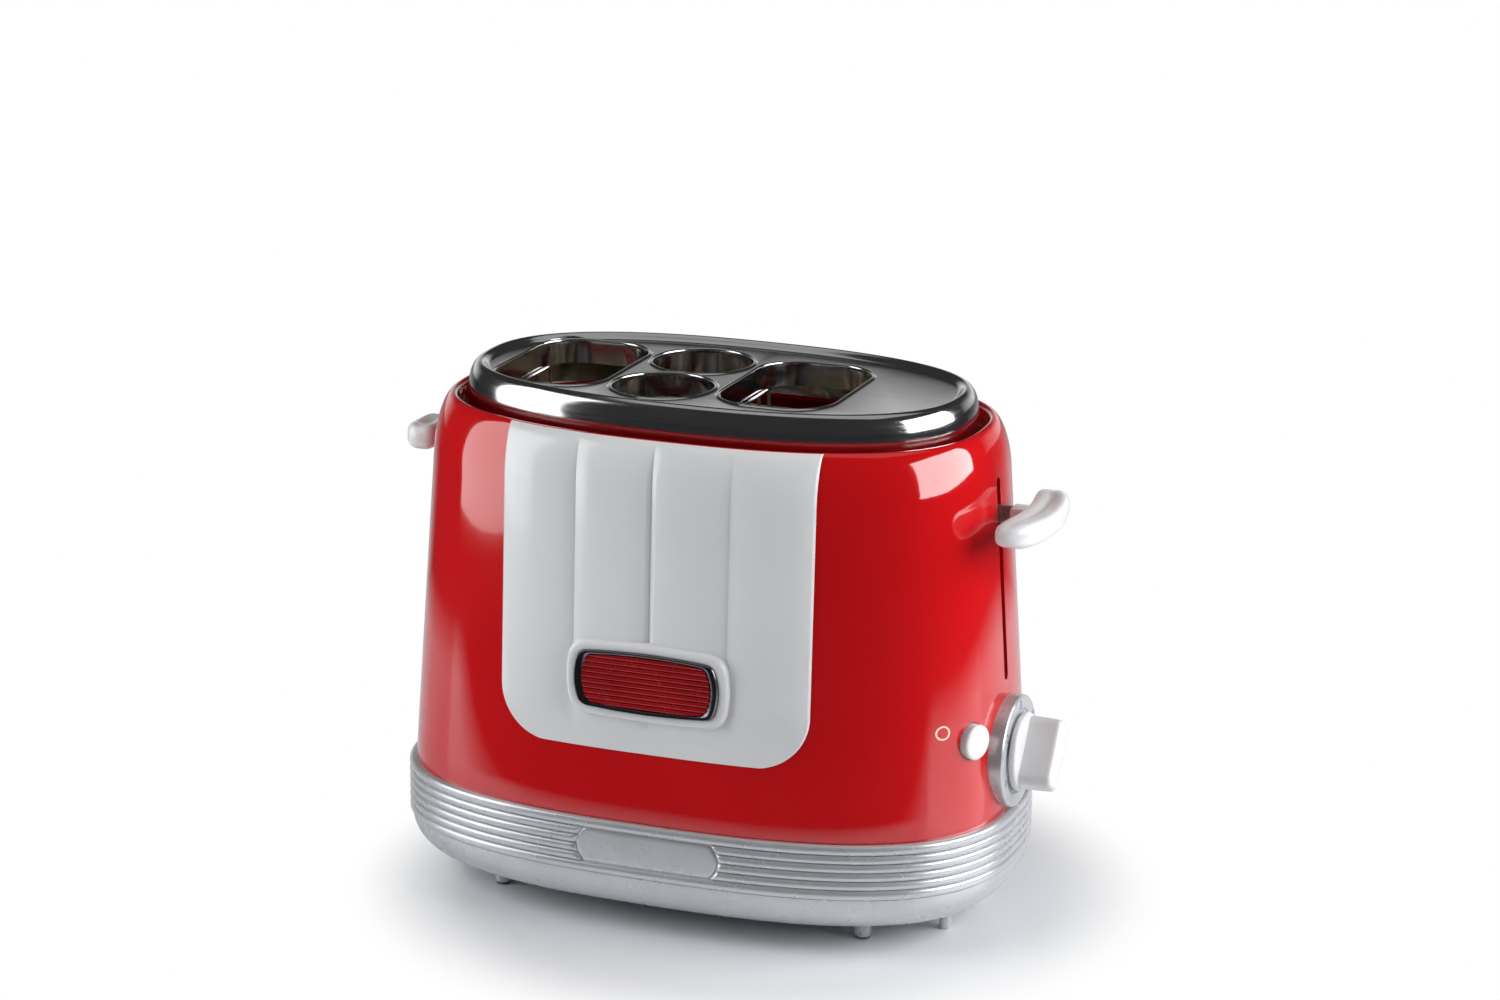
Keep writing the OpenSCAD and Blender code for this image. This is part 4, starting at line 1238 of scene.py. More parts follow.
    def hand_in(self, obj: Obj, body: Body, slot: Slot, paint: str | None,
                replaces: Sequence[str] = ()) -> None:
        """Paints a piece, ties it to its body and lets it stand for CAD nodes.

        Args:
            obj: The piece.
            body: The body that it rides on.
            slot: The record's material slot; not used.
            paint: The finish, or None where the piece has its materials already.
            replaces: The CAD nodes that it stands for.
        """
        if paint is not None:
            obj.data.materials.clear()
            obj.data.materials.append(self.paints[paint])
        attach(obj, body.value)
        if replaces:
            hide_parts(*replaces)
        LOG.info("piece %s: %d faces", obj.name, len(obj.data.polygons))

    def from_cad(self, node: str, body: Body, slot: Slot, paint: str, bevel: float,
                 angle: float = 35, shrink: float = 0) -> None:
        """A copy of a CAD node with rounded edges, which stands for the node.

        Args:
            node: The node's name.
            body: The body that the piece rides on.
            slot: The record's material slot.
            paint: The finish.
            bevel: Width of the rounded edges in millimetres.
            angle: Edges flatter than this stay as they are, in degrees.
            shrink: How far each face lies inside the node's own, in millimetres.
        """
        obj = in_scene(node + "_made", bpy.data.objects[node].data.copy())
        with editing(obj) as work:
            bmesh.ops.remove_doubles(work, verts=work.verts, dist=1e-6)
            bmesh.ops.dissolve_limit(work, angle_limit=math.radians(1), verts=work.verts, edges=work.edges)
            work.normal_update()
            for vert in work.verts:
                vert.co -= vert.normal * vert.calc_shell_factor() * shrink * MM
        self.bevel(obj, bevel, 2, angle)
        self.smooth(obj, 40)
        self.hand_in(obj, body, slot, paint, [node])


def even_angles(count: int) -> np.ndarray:
    """Angles round a full turn, in radians."""
    return np.arange(count) * 2 * math.pi / count


def arc(start: float, stop: float, steps: int) -> np.ndarray:
    """Angles in degrees as radians, both ends included."""
    return np.radians(np.linspace(start, stop, steps + 1))


def on_front(points: np.ndarray, out: float) -> np.ndarray:
    """Flat points in X and Z put at a distance out towards the front."""
    return np.column_stack([points[:, 0], np.full(len(points), -out), points[:, 1]])


def upright(points: np.ndarray, z: float) -> np.ndarray:
    """Flat points in X and Y put at height z."""
    return np.column_stack([points, np.full(len(points), z)])


def corner(before: Pair, at: Pair, after: Pair, radius: float, steps: int = 6) -> list[np.ndarray]:
    """A rounded corner as a quadratic curve.

    Args:
        before: A point on the way in.
        at: The sharp corner.
        after: A point on the way out.
        radius: How far from the sharp corner the curve starts and ends.
        steps: How many pieces it has.

    Returns:
        Its points, both ends included.
    """
    before, at, after = (np.asarray(p, float) for p in (before, at, after))
    first = at + (before - at) / np.linalg.norm(before - at) * radius
    last = at + (after - at) / np.linalg.norm(after - at) * radius
    t = np.linspace(0, 1, steps + 1)[:, None]
    return list((1 - t) ** 2 * first + 2 * t * (1 - t) * at + t**2 * last)


def bowed_outline(width: float, height: float, bow: float, round_r: float, crown: float = 0) -> Outline:
    """A rectangle whose ends bow outwards.

    Args:
        width: Its width in the middle.
        height: Its height in the middle.
        bow: How far its ends bow outwards.
        round_r: The radius of its corners.
        crown: How far its top and bottom fall off towards the ends.

    Returns:
        The outline, which can grow.
    """

    def points(grow: float) -> np.ndarray:
        """The outline's points when it has grown by grow."""
        half_w, half_h = width / 2 + grow, height / 2 + grow
        corner_r = max(0.3, round_r + grow)
        arc_r = (half_h**2 + bow**2) / (2 * bow)
        reach = math.degrees(math.asin(half_h / arc_r))
        trim = math.degrees(corner_r / arc_r)
        made = []
        for side, start in ((1, 0), (-1, 180)):
            centre = side * (half_w - arc_r)
            bend = [(centre + arc_r * math.cos(a), arc_r * math.sin(a))
                    for a in arc(start - reach + trim, start + reach - trim, 12)]
            made += bend
            tip = np.array([side * (half_w - bow), side * half_h])
            inner = tip - np.array([side * corner_r, 0])
            made += corner(bend[-1], tip, inner, corner_r)[1:]
            across = np.linspace(inner[0], -side * (half_w - bow - corner_r), 16)
            made += [(x, side * half_h) for x in across[1:-1]]
            next_tip = np.array([-side * (half_w - bow), side * half_h])
            next_centre = -side * (half_w - arc_r)
            turn = math.radians((180 if side > 0 else 0) - reach + trim)
            after = (next_centre + arc_r * math.cos(turn), arc_r * math.sin(turn))
            made += corner((across[-1], side * half_h), next_tip, after, corner_r)[:-1]
        made = np.array(made)
        made[:, 1] *= 1 - crown * (made[:, 0] / half_w) ** 2 / half_h
        return made

    return points


def round_rect_outline(width: float, depth: float, radius: float) -> Outline:
    """A rectangle with round corners, centred.

    Args:
        width: Its width.
        depth: Its depth.
        radius: The radius of its corners.

    Returns:
        The outline, which can grow.
    """

    def points(grow: float) -> np.ndarray:
        """The outline's points when it has grown by grow."""
        made = []
        for k, (sx, sy) in enumerate(((1, 1), (-1, 1), (-1, -1), (1, -1))):
            centre = np.array([sx * (width / 2 - radius), sy * (depth / 2 - radius)])
            for a in arc(90 * k, 90 * (k + 1), 12):
                made.append(centre + (radius + grow) * np.array([math.cos(a), math.sin(a)]))
        return np.array(made)

    return points


def circle_outline(radius: float) -> Outline:
    """A circle as an outline that can grow."""
    angles = even_angles(96)
    return lambda grow: (radius + grow) * np.column_stack([np.cos(angles), np.sin(angles)])


def moved(outline: Outline, dx: float, dy: float) -> Outline:
    """An outline moved in its plane."""
    return lambda grow: outline(grow) + (dx, dy)


# ---------------------------------------------------------------------------------------
# Sub-assemblies


@dataclass
class Part:
    """A sub-assembly that hands in its pieces when it is built."""

    shop: Workshop

    def build(self) -> None:
        """Makes and hands in every piece."""
        raise NotImplementedError


def button_frame() -> tuple[Vector, Vector]:
    """Where the stop button sits.

    Returns:
        Its centre on the housing and its outward axis.
    """
    plan = HOUSING.plan(DIAL.button_z)
    x = plan.end(DIAL.button_y)
    along_y = DIAL.button_y ** (plan.power - 1) / plan.half_y**plan.power
    along_x = x ** (plan.power - 1) / plan.half_x**plan.power
    normal = Vector((along_x, -along_y, 0)).normalized()
    return Vector((x, -DIAL.button_y, DIAL.button_z)), normal


@dataclass
class Housing(Part):
    """The red shell with its lip, the lever slots and the holes of the dial and button."""

    size: HousingSize = HOUSING
    slot_half: float = 2.2
    slot_reach: Pair = (104, 136)
    lever_slots: tuple[tuple[int, float, float], ...] = ((1, 104, 189.5), (-1, 117.5, 187.5))
    rolled_lip: tuple[Pair, ...] = ((0.35, 0.05), (0.8, 0.25), (1.25, 0.65), (1.6, 1.2), (1.8, 2), (1.9, 4))
    flange_lap: float = 4
    flange_t: float = 2
    dial_hole_r: float = 5
    button_hole_r: float = 7.8

    def build(self) -> None:
        """Makes the shell, cuts its openings and prints the mark."""
        shop = self.shop
        shell = shop.stack("housing_shell", self.rows(), loop=True)
        tools = [self.slot_tool(*slot) for slot in self.lever_slots]
        tools.append(shop.lathe("hole", [(self.dial_hole_r, 0), (self.dial_hole_r, 20)],
                                (115, 0, DIAL.z), (1, 0, 0)))
        centre, normal = button_frame()
        tools.append(shop.lathe("hole", [(self.button_hole_r, 0), (self.button_hole_r, 16)],
                                tuple(centre - normal * 9), tuple(normal)))
        shop.carve(shell, *tools)
        shop.smooth(shell, 28)
        shop.hand_in(shell, Body.TOASTER, Slot.RED, "red", ["housing"])
        self.mark()

    def rows(self) -> list[tuple[Plan, float]]:
        """The shell from its foot over the shoulder and the lip, and back down inside.

        Returns:
            Pairs of a plan and a height.
        """
        size = self.size
        rows = [(size.plan(size.foot_z, 0.5), size.foot_z),
                (size.plan(size.foot_z, 0.12), size.foot_z + 0.15),
                (size.plan(size.foot_z + 0.5), size.foot_z + 0.5)]
        rows += [(size.plan(z), z) for z in np.linspace(60, size.shoulder_z, 14)]
        for a in arc(0, 90, 12)[1:]:
            z = size.shoulder_z + (size.lip_z - size.shoulder_z) * math.sin(a)
            rows.append((size.plan(z, size.shoulder_inset(z)), z))
        rows += [(size.plan(size.lip_z, size.shoulder_in + inset), size.lip_z - drop)
                 for inset, drop in self.rolled_lip]
        flange = size.plan(size.flange_z).half_x - TOP.half_x + self.flange_lap
        low = size.flange_z - self.flange_t
        rows += [(size.plan(size.flange_z, size.shoulder_in + 2), size.flange_z + 0.4),
                 (size.plan(size.flange_z, size.shoulder_in + 2.4), size.flange_z),
                 (size.plan(size.flange_z, flange), size.flange_z),
                 (size.plan(size.flange_z, flange), low),
                 (size.plan(size.flange_z, size.wall + 1), low),
                 (size.plan(size.shoulder_z, size.wall), size.shoulder_z),
                 (size.plan(size.foot_z, size.wall), size.foot_z)]
        return rows

    def slot_tool(self, side: int, low: float, high: float) -> Obj:
        """The cutter of a lever slot: a rod with round ends along X.

        Args:
            side: 1 at the dial end and -1 at the other.
            low: The slot's lower end.
            high: Its upper end.

        Returns:
            The cutter.
        """
        r = self.slot_half
        flat = [(r * math.cos(a), high - r + r * math.sin(a)) for a in arc(0, 180, 12)]
        flat += [(r * math.cos(a), low + r + r * math.sin(a)) for a in arc(180, 360, 12)]
        grid = [[(side * x, side * y, z) for y, z in flat] for x in self.slot_reach]
        return self.shop.outwards(self.shop.lattice("slot", grid, wrap=True, caps=(True, True)))

    def mark(self) -> None:
        """A printed ring beside the button: the usual sign for off."""
        grid = []
        for a in even_angles(48):
            row = []
            for r in (DIAL.mark_r - DIAL.mark_w, DIAL.mark_r):
                y = -DIAL.mark_y + r * DIAL.mark_narrow * math.cos(a)
                z = DIAL.mark_z + r * math.sin(a)
                row.append((self.size.plan(z).end(y) + PRINT_PROUD, y, z))
            grid.append(row)
        ring = self.shop.lattice("off_mark", grid, loop=True)
        self.shop.smooth(ring)
        self.shop.hand_in(ring, Body.TOASTER, Slot.WHITE, "cream")


@dataclass
class FrontPanel(Part):
    """The white panel with its pillow-shaped flutes, and the pad of the badge."""

    size: PanelSize = PANEL
    edge: tuple[Pair, ...] = ((0.0, 0.0), (0.12, 0.55), (0.4, 0.88), (0.8, 1.0))
    steps_in_flute: int = 16
    above_housing: float = 0.02

    def build(self) -> None:
        """Makes the panel and the pad."""
        shop = self.shop
        sheet = shop.lattice("panel_sheet", self.grid())
        shop.smooth(sheet, 12)
        shop.hand_in(sheet, Body.TOASTER, Slot.WHITE, "white", ["front_panel"])
        self.pad()

    def height(self, x: float, z: float) -> float:
        """How far the panel's face lies above the housing."""
        return self.size.proud + self.size.flute_h * self.size.fade(z, HOUSING.lip_z) * self.size.crown(x)

    def edge_share(self, from_edge: int) -> float:
        """How much of the panel's height is left at a row or column counted from its edge."""
        return self.edge[from_edge][1] if from_edge < len(self.edge) else 1.0

    def heights(self) -> list[float]:
        """Heights of the rows, close together where the panel turns.

        Returns:
            The heights, from the lower edge to the lip.
        """
        low = [self.size.bottom_z + d for d, _ in self.edge]
        turn = self.size.bottom_z + self.size.corner_r * (1 - np.cos(arc(0, 90, 16)))
        low += [z for z in turn if z > low[-1] + 0.3]
        rise = list(np.linspace(low[-1], HOUSING.shoulder_z, 44)[1:])
        return [*low, *rise, *[HOUSING.shoulder_z + 19 * math.sin(a) for a in arc(0, 84, 16)[1:]]]

    def grid(self) -> list[list[Point]]:
        """The panel's face.

        Returns:
            Rows of points from the lower edge to the lip, with rounded edges.
        """
        edge = [d for d, _ in self.edge]
        rows = []
        for k, z in enumerate(self.heights()):
            half = self.size.half_width(z)
            inner = np.linspace(-half + edge[-1], half - edge[-1], self.size.flutes * self.steps_in_flute + 1)
            xs = [*[-half + d for d in edge[:-1]], *inner, *[half - d for d in reversed(edge[:-1])]]
            row = []
            for j, x in enumerate(xs):
                share = min(self.edge_share(k), self.edge_share(min(j, len(xs) - 1 - j)))
                lift = self.height(x, z) * share + self.above_housing
                row.append((x, -HOUSING.front(x, z) - lift, z))
            rows.append(row)
        return rows

    def pad(self) -> None:
        """The flat pad that rises out of the flutes round the badge."""
        shop, face = self.shop, badge_face()
        rows = [(BADGE.pad + 0.8, face - 5), (BADGE.pad + 0.5, face - 1.6)]
        rows += [(BADGE.pad - 1.1 + 1.4 * math.cos(a), face - 1.4 + 1.4 * math.sin(a)) for a in arc(0, 90, 6)]
        rows += [(0.35, face), (0.05, face - 0.2), (0.05, face - BADGE.sunk)]
        pad = shop.sweep("badge_pad", moved(BADGE.outline(0, 0, 3.0), 0, BADGE.z), rows, on_front)
        shop.smooth(shop.outwards(pad), 40)
        shop.hand_in(pad, Body.TOASTER, Slot.WHITE, "white")


def badge_face() -> float:
    """Distance from the middle plane to the badge pad's face."""
    return HOUSING.front(0, BADGE.z) + PANEL.proud + PANEL.flute_h + BADGE.above_crowns


@dataclass
class Badge(Part):
    """The badge's frame and its ribbed plate, which stays bare."""

    size: BadgeSize = BADGE
    play: float = 0.1
    rib_h: float = 1.05
    rib_power: float = 0.8
    steps_in_rib: int = 10

    def build(self) -> None:
        """Makes the frame and the plate."""
        shop, size, face = self.shop, self.size, badge_face()
        back = face - size.sunk
        outer = size.outline(0, 0, 3.0)(0)
        inner = size.outline(size.rim_w, size.rim_h, 2.2)(0)
        profile = [(0, back), (0, face + 0.2), (0.06, face + 0.7), (0.2, face + size.proud),
                   (0.45, face + size.proud), (0.8, face + 0.75), (1, face + 0.1), (1, back)]
        grid = [on_front((1 - share) * outer + share * inner + (0, size.z), out) for share, out in profile]
        frame = shop.lattice("badge_frame_ring", grid, wrap=True, loop=True)
        shop.smooth(shop.outwards(frame), 35)
        shop.hand_in(frame, Body.TOASTER, Slot.BADGE_DARK, "badge_dark", ["badge_frame"])
        self.plate(face)

    def plate(self, face: float) -> None:
        """The red plate: rounded ribs across, kept inside the frame.

        Args:
            face: Distance from the middle plane to the pad's face.
        """
        shop, size = self.shop, self.size
        inset_x, inset_z = size.rim_w + self.play, size.rim_h + self.play
        width, height = size.width - 2 * inset_x, size.height - 2 * inset_z
        rows = []
        for k in range(size.ribs * self.steps_in_rib + 1):
            part = k / self.steps_in_rib % 1
            z = size.z - height / 2 + height / size.ribs * k / self.steps_in_rib
            y = 0.35 - face - self.rib_h * math.sqrt(max(0.0, 1 - (2 * part - 1) ** 2)) ** self.rib_power
            rows.append([(x, y, z) for x in np.linspace(-width / 2, width / 2, 25)])
        back = [[(x, 1.6 - face, z) for x, _, z in row] for row in (rows[0], rows[-1])]
        plate = shop.close(shop.lattice("badge_plate", [back[0], *rows, back[1]], loop=True))
        outline = moved(size.outline(inset_x, inset_z, 2.1), 0, size.z)
        tool = shop.sweep("cut", outline, [(0, face - 3), (0, face + 3)], on_front, caps=(True, True))
        shop.carve(plate, shop.outwards(tool), operation="INTERSECT")
        shop.smooth(plate, 50)
        shop.hand_in(plate, Body.TOASTER, Slot.BADGE_RED, "badge_red", ["badge_insert"])


@dataclass
class Base(Part):
    """The ribbed base with its bowl, plaque, vented cover, feet and posts."""

    size: BaseSize = BASE
    rib_power: float = 2.4
    rib_steps: int = 12
    rib_end: float = 1.9
    tray_play: float = 0.4
    gland_r: float = 6
    gland_place: Point = (84, 55, 38)
    plaque_rim: tuple[Pair, ...] = ((0, 0.0), (0, 0.25), (-0.12, 0.42), (-0.4, 0.5), (-1.5, 0.5), (-3, 0.5),
                                    (-4.5, 0.5), (-5.8, 0.5))

    def build(self) -> None:
        """Makes the shell, the plaque, the feet and the cover."""
        self.shell()
        self.plaque()
        self.feet()
        self.shop.from_cad("bottom_cover", Body.TOASTER, Slot.PLASTIC, "plastic", 0.3, 50)
        self.shop.from_cad("cover_screws", Body.TOASTER, Slot.POLISHED, "polished", 0.12)

    def angles(self) -> np.ndarray:
        """Even angles, with more of them at the plaque's ends.

        Returns:
            The angles in radians, in order.
        """
        share = (self.size.plaque_w / 2 / self.size.half_x) ** (self.size.power / 2)
        ends = [-math.acos(side * share) for side in (-1, 1)]
        extra = [a for end in ends for a in np.linspace(end - 0.03, end + 0.03, 25)]
        return np.array(sorted({round(a % (2 * math.pi), 6) for a in [*even_angles(320), *extra]}))

    def rib_share(self, x: float, y: float, z: float) -> float:
        """How much of a rib is left beside the plaque, where the ribs end round.

        Args:
            x: Place of the rib's crest along the base.
            y: Place of the crest across it.
            z: Height.

        Returns:
            1 for the full rib and 0 for none.
        """
        size = self.size
        if y > 0 or not size.plaque_bottom < z < size.plaque_top:
            return 1.0
        off = abs(z - size.plaque_middle) / (size.plaque_top - size.plaque_bottom) * 2
        past = (abs(x) - size.plaque_w / 2 + size.plaque_bow * off * off) / self.rib_end
        if past <= 0:
            return 0.0
        return math.sqrt(1 - (1 - past) ** 2) if past < 1 else 1.0

    def walls(self, angles: np.ndarray) -> list[np.ndarray]:
        """The inner wall from the top down, and the bowl from its foot up.

        Args:
            angles: Angles of the points.

        Returns:
            Rows of points.
        """
        size = self.size
        floor_z = size.bottom_z + size.floor
        rows = [(size.wall, size.top_z), (size.wall, size.bowl_z), (size.wall + 5, size.bottom_z + 8),
                (size.bowl_in + 3, floor_z), (size.cover_inset, floor_z), (size.cover_inset, size.bottom_z)]
        for a in arc(90, 0, 14):
            rows.append((size.groove - 0.4 + size.bowl_in * (1 - math.cos(a)),
                         size.bowl_z - (size.bowl_z - size.bottom_z) * math.sin(a)))
        return [upright(size.plan(inset).ring(angles), z) for inset, z in rows]

    def ribs(self, angles: np.ndarray) -> list[np.ndarray]:
        """The ribs from the bowl up.

        Args:
            angles: Angles of the points.

        Returns:
            Rows of points.
        """
        size, rows = self.size, []
        edges = size.rib_edges()
        outer = size.plan(size.groove).ring(angles)
        for top, low in reversed(list(zip(edges[:-1], edges[1:]))):
            for k in range(self.rib_steps + 1):
                part = k / self.rib_steps
                z = low + (top - low) * part
                rib = math.sqrt(max(0.0, 1 - abs(2 * part - 1) ** self.rib_power))
                crest = size.plan(size.groove * (1 - rib)).ring(angles)
                rows.append(upright(np.array([foot + (tip - foot) * self.rib_share(*tip, z)
                                              for foot, tip in zip(outer, crest)]), z))
        return rows

    def shell(self) -> None:
        """The ribs, the bowl under them and the inner wall, cut for the tray and the gland."""
        shop, angles, play = self.shop, self.angles(), self.tray_play
        shell = shop.lattice("base_ribs", self.walls(angles) + self.ribs(angles), wrap=True, loop=True)
        low, high = shop.span_of("tray_front")
        tray = shop.block("cut", (low[0] - play, 0, low[2] - play), (high[0] + play, 100, high[2] + play))
        gland = shop.lathe("cut", [(self.gland_r, 0), (self.gland_r, 30)], self.gland_place, (0, 1, 0))
        shop.carve(shell, tray, gland)
        shop.smooth(shell, 32)
        shop.hand_in(shell, Body.TOASTER, Slot.SILVER, "silver", ["base_shell"])

    def plaque(self) -> None:
        """The bare plaque: a thin plate that lies in the ribs' gap."""
        shop, size = self.shop, self.size
        height = size.plaque_top - size.plaque_bottom - 0.9
        outline = bowed_outline(size.plaque_w - 1.6, height, size.plaque_bow, 1.2)
        plan = size.plan(size.groove)

        def place(points: np.ndarray, out: float) -> np.ndarray:
            """Flat points put on the base's front."""
            return np.array([(x, -plan.front(x) - out, z + size.plaque_middle) for x, z in points])

        rim = shop.sweep("plaque_plate", outline, self.plaque_rim, place, caps=(False, True))
        shop.smooth(shop.outwards(rim), 40)
        shop.hand_in(rim, Body.TOASTER, Slot.SILVER, "silver", ["base_plaque"])

    def feet(self) -> None:
        """Turned feet with rubber pads, and the thinner posts at the ends."""
        top, foot, post = self.size.bottom_z, self.size.foot_r, self.size.post_r
        feet = [(foot - 0.5, 1.3), (foot - 0.2, 1.5), (foot - 0.05, 2.2), (foot, top - 1),
                (foot + 0.25, top - 0.35), (foot + 0.9, top)]
        pads = [(0, 0), (foot - 1.1, 0), (foot - 0.75, 0.15), (foot - 0.6, 0.5), (foot - 0.6, 1.4)]
        posts = [(0, 0), (post - 1.1, 0), (post - 0.7, 0.2), (post - 0.5, 0.8), (post - 0.1, top - 1),
                 (post + 0.2, top - 0.3), (post + 0.7, top)]
        foot_at, post_at = (self.size.foot_x, self.size.foot_y), (self.size.post_x, self.size.post_y)
        self.turned("feet_turned", feet, foot_at, "silver", ["feet"])
        self.turned("foot_pads", pads, foot_at, "rubber", [])
        self.turned("posts_turned", posts, post_at, "silver", ["end_posts"])

    def turned(self, name: str, profile: Sequence[Pair], at: Pair, paint: str, nodes: list[str]) -> None:
        """Four turned pieces under the base's corners.

        Args:
            name: The piece's name.
            profile: Pairs of a radius and a height.
            at: How far they stand from the middle along X and Y.
            paint: The finish.
            nodes: The CAD nodes that the piece stands for.
        """
        shop = self.shop
        made = [shop.lathe("turned", profile, (sx * at[0], sy * at[1], 0), steps=48)
                for sx in (-1, 1) for sy in (-1, 1)]
        piece = shop.join(name, made)
        shop.smooth(shop.outwards(piece), 40)
        shop.hand_in(piece, Body.TOASTER, Slot.SILVER, paint, nodes)


@dataclass
class SteelTop(Part):
    """The steel rim and plate, and the rolled collars of the wells."""

    size: TopSize = TOP
    well_gap: float = 1.1
    crest_r: float = 5
    slope: float = 3.8

    def build(self) -> None:
        """Makes the rim and the collars."""
        self.rim()
        self.collars()

    def wells(self) -> list[Outline]:
        """Outlines of the four wells.

        Returns:
            The two bun wells and the two sausage wells.
        """
        size = self.size
        bun = round_rect_outline(size.bun_w, size.bun_d, size.bun_r)
        circle = circle_outline(size.sausage_r)
        return [*[moved(bun, x, 0) for x in size.bun_centres()],
                *[moved(circle, size.cook_x, side * size.sausage_y) for side in (-1, 1)]]

    def rim(self) -> None:
        """Skirt, crest and plate in one sheet, cut by the wells."""
        shop, size, low = self.shop, self.size, HOUSING.flange_z + 0.1
        turn = HOUSING.flange_z + size.skirt
        rise, sink = size.crest_z - turn, size.crest_z - size.plate_z
        rows = [(size.plan(7), size.plate_z - size.sheet), (size.plan(4), size.plate_z - 2.4),
                (size.plan(size.sheet), turn), (size.plan(size.sheet), low), (size.plan(0), low),
                (size.plan(0), low + 4), (size.plan(0), turn - 4)]
        rows += [(size.plan(self.crest_r * (1 - math.cos(a))), turn + rise * math.sin(a))
                 for a in arc(0, 90, 16)]
        rows += [(size.plan(self.crest_r + self.slope * t),
                  size.plate_z + sink * (1 + math.cos(math.pi * t)) / 2) for t in np.linspace(0, 1, 11)[1:]]
        rim = shop.stack("steel_rim", rows, caps=(True, True))
        cut = [(self.well_gap, 200), (self.well_gap, 230)]
        shop.carve(rim, *[shop.outwards(shop.sweep("cut", well, cut, upright, caps=(True, True)))
                          for well in self.wells()])
        shop.smooth(rim, 35)
        rim.data.materials.clear()
        for paint in ("polished", "brushed"):
            rim.data.materials.append(shop.paints[paint])
        for face in rim.data.polygons:
            flat = face.normal.z > 0.999 and abs(face.center.z / MM - size.plate_z) < 0.05
            face.material_index = 1 if flat else 0
        shop.hand_in(rim, Body.TOASTER, Slot.POLISHED, None, ["top_plate", "top_rim"])

    def collars(self) -> None:
        """A rolled edge round each well that runs down inside it."""
        shop, z = self.shop, self.size.plate_z
        rows = [(0, self.size.collar_z), (0, z - 1.4)]
        rows += [(0.9 - 0.9 * math.cos(a), z - 0.2 + 0.85 * math.sin(a)) for a in arc(0, 90, 6)]
        rows += [(0.9 + 1.5 * t, z - 0.05 + 0.7 * (1 + math.cos(math.pi * t)) / 2)
                 for t in (0.3, 0.6, 0.85, 1)]
        rows += [(1.15, z - 1.2), (1.15, self.size.collar_z)]
        made = [shop.sweep("collar", well, rows, upright, loop=True) for well in self.wells()]
        collars = shop.join("rolled_collars", made)
        shop.smooth(shop.outwards(collars), 40)
        shop.hand_in(collars, Body.TOASTER, Slot.POLISHED, "polished", ["well_collars"])


@dataclass
class Lever(Part):
    """A white lever bar on its steel arm. side is 1 at the dial end and -1 at the other."""

    size: LeverSize
    side: int
    body: Body
    node: str
    section_power: float = 0.7

    def build(self) -> None:
        """Makes the bar with its neck, and the arm."""
        shop, name = self.shop, self.node + "_bar"
        grid = [self.section(share) for share in np.sin(arc(-90, 90, 44))]
        bar = shop.lattice(name, grid, wrap=True, caps=(True, True))
        shop.smooth(shop.outwards(bar), 50)
        bar = shop.join(name, [bar, self.neck()])
        shop.hand_in(bar, self.body, Slot.WHITE, "white", [self.node])
        shop.from_cad(self.node + "_arm", self.body, Slot.SHEET, "sheet", 0.35)

    def squarish(self, value: float) -> float:
        """A sine or cosine pushed towards 1, which squares a circle's sides."""
        return math.copysign(abs(value) ** self.section_power, value)

    def section(self, share: float) -> list[Point]:
        """One closed section across the bar.

        Args:
            share: Where it lies along the bar, from -1 to 1.

        Returns:
            Its points.
        """
        size = self.size
        y = share * size.width / 2
        full = math.sqrt(max(0.02, 1 - abs(share) ** size.end_power))
        middle = size.inner_x + size.depth / 2 - y * y / size.bow
        dish = size.dish * (1 - share * share)
        points = []
        for a in even_angles(56):
            c, s = self.squarish(math.cos(a)), self.squarish(math.sin(a))
            z = size.z + size.thickness / 2 * full * s - dish * (1 - abs(c)) * max(0.0, s)
            points.append((self.side * (middle + size.depth / 2 * full * c), y, z))
        return points

    def neck(self) -> Obj:
        """The short neck between bar and arm.

        Returns:
            The neck, with its edges rounded.
        """
        size = self.size
        low = (self.side * size.neck_x, -size.neck_half, size.z - size.arm_h / 2 + 0.5)
        high = (self.side * (size.inner_x + 4), size.neck_half, size.z + size.arm_h / 2 + 0.5)
        neck = self.shop.block("neck", tuple(map(min, low, high)), tuple(map(max, low, high)))
        return self.shop.smooth(self.shop.bevel(neck, 1.2, 4), 40)


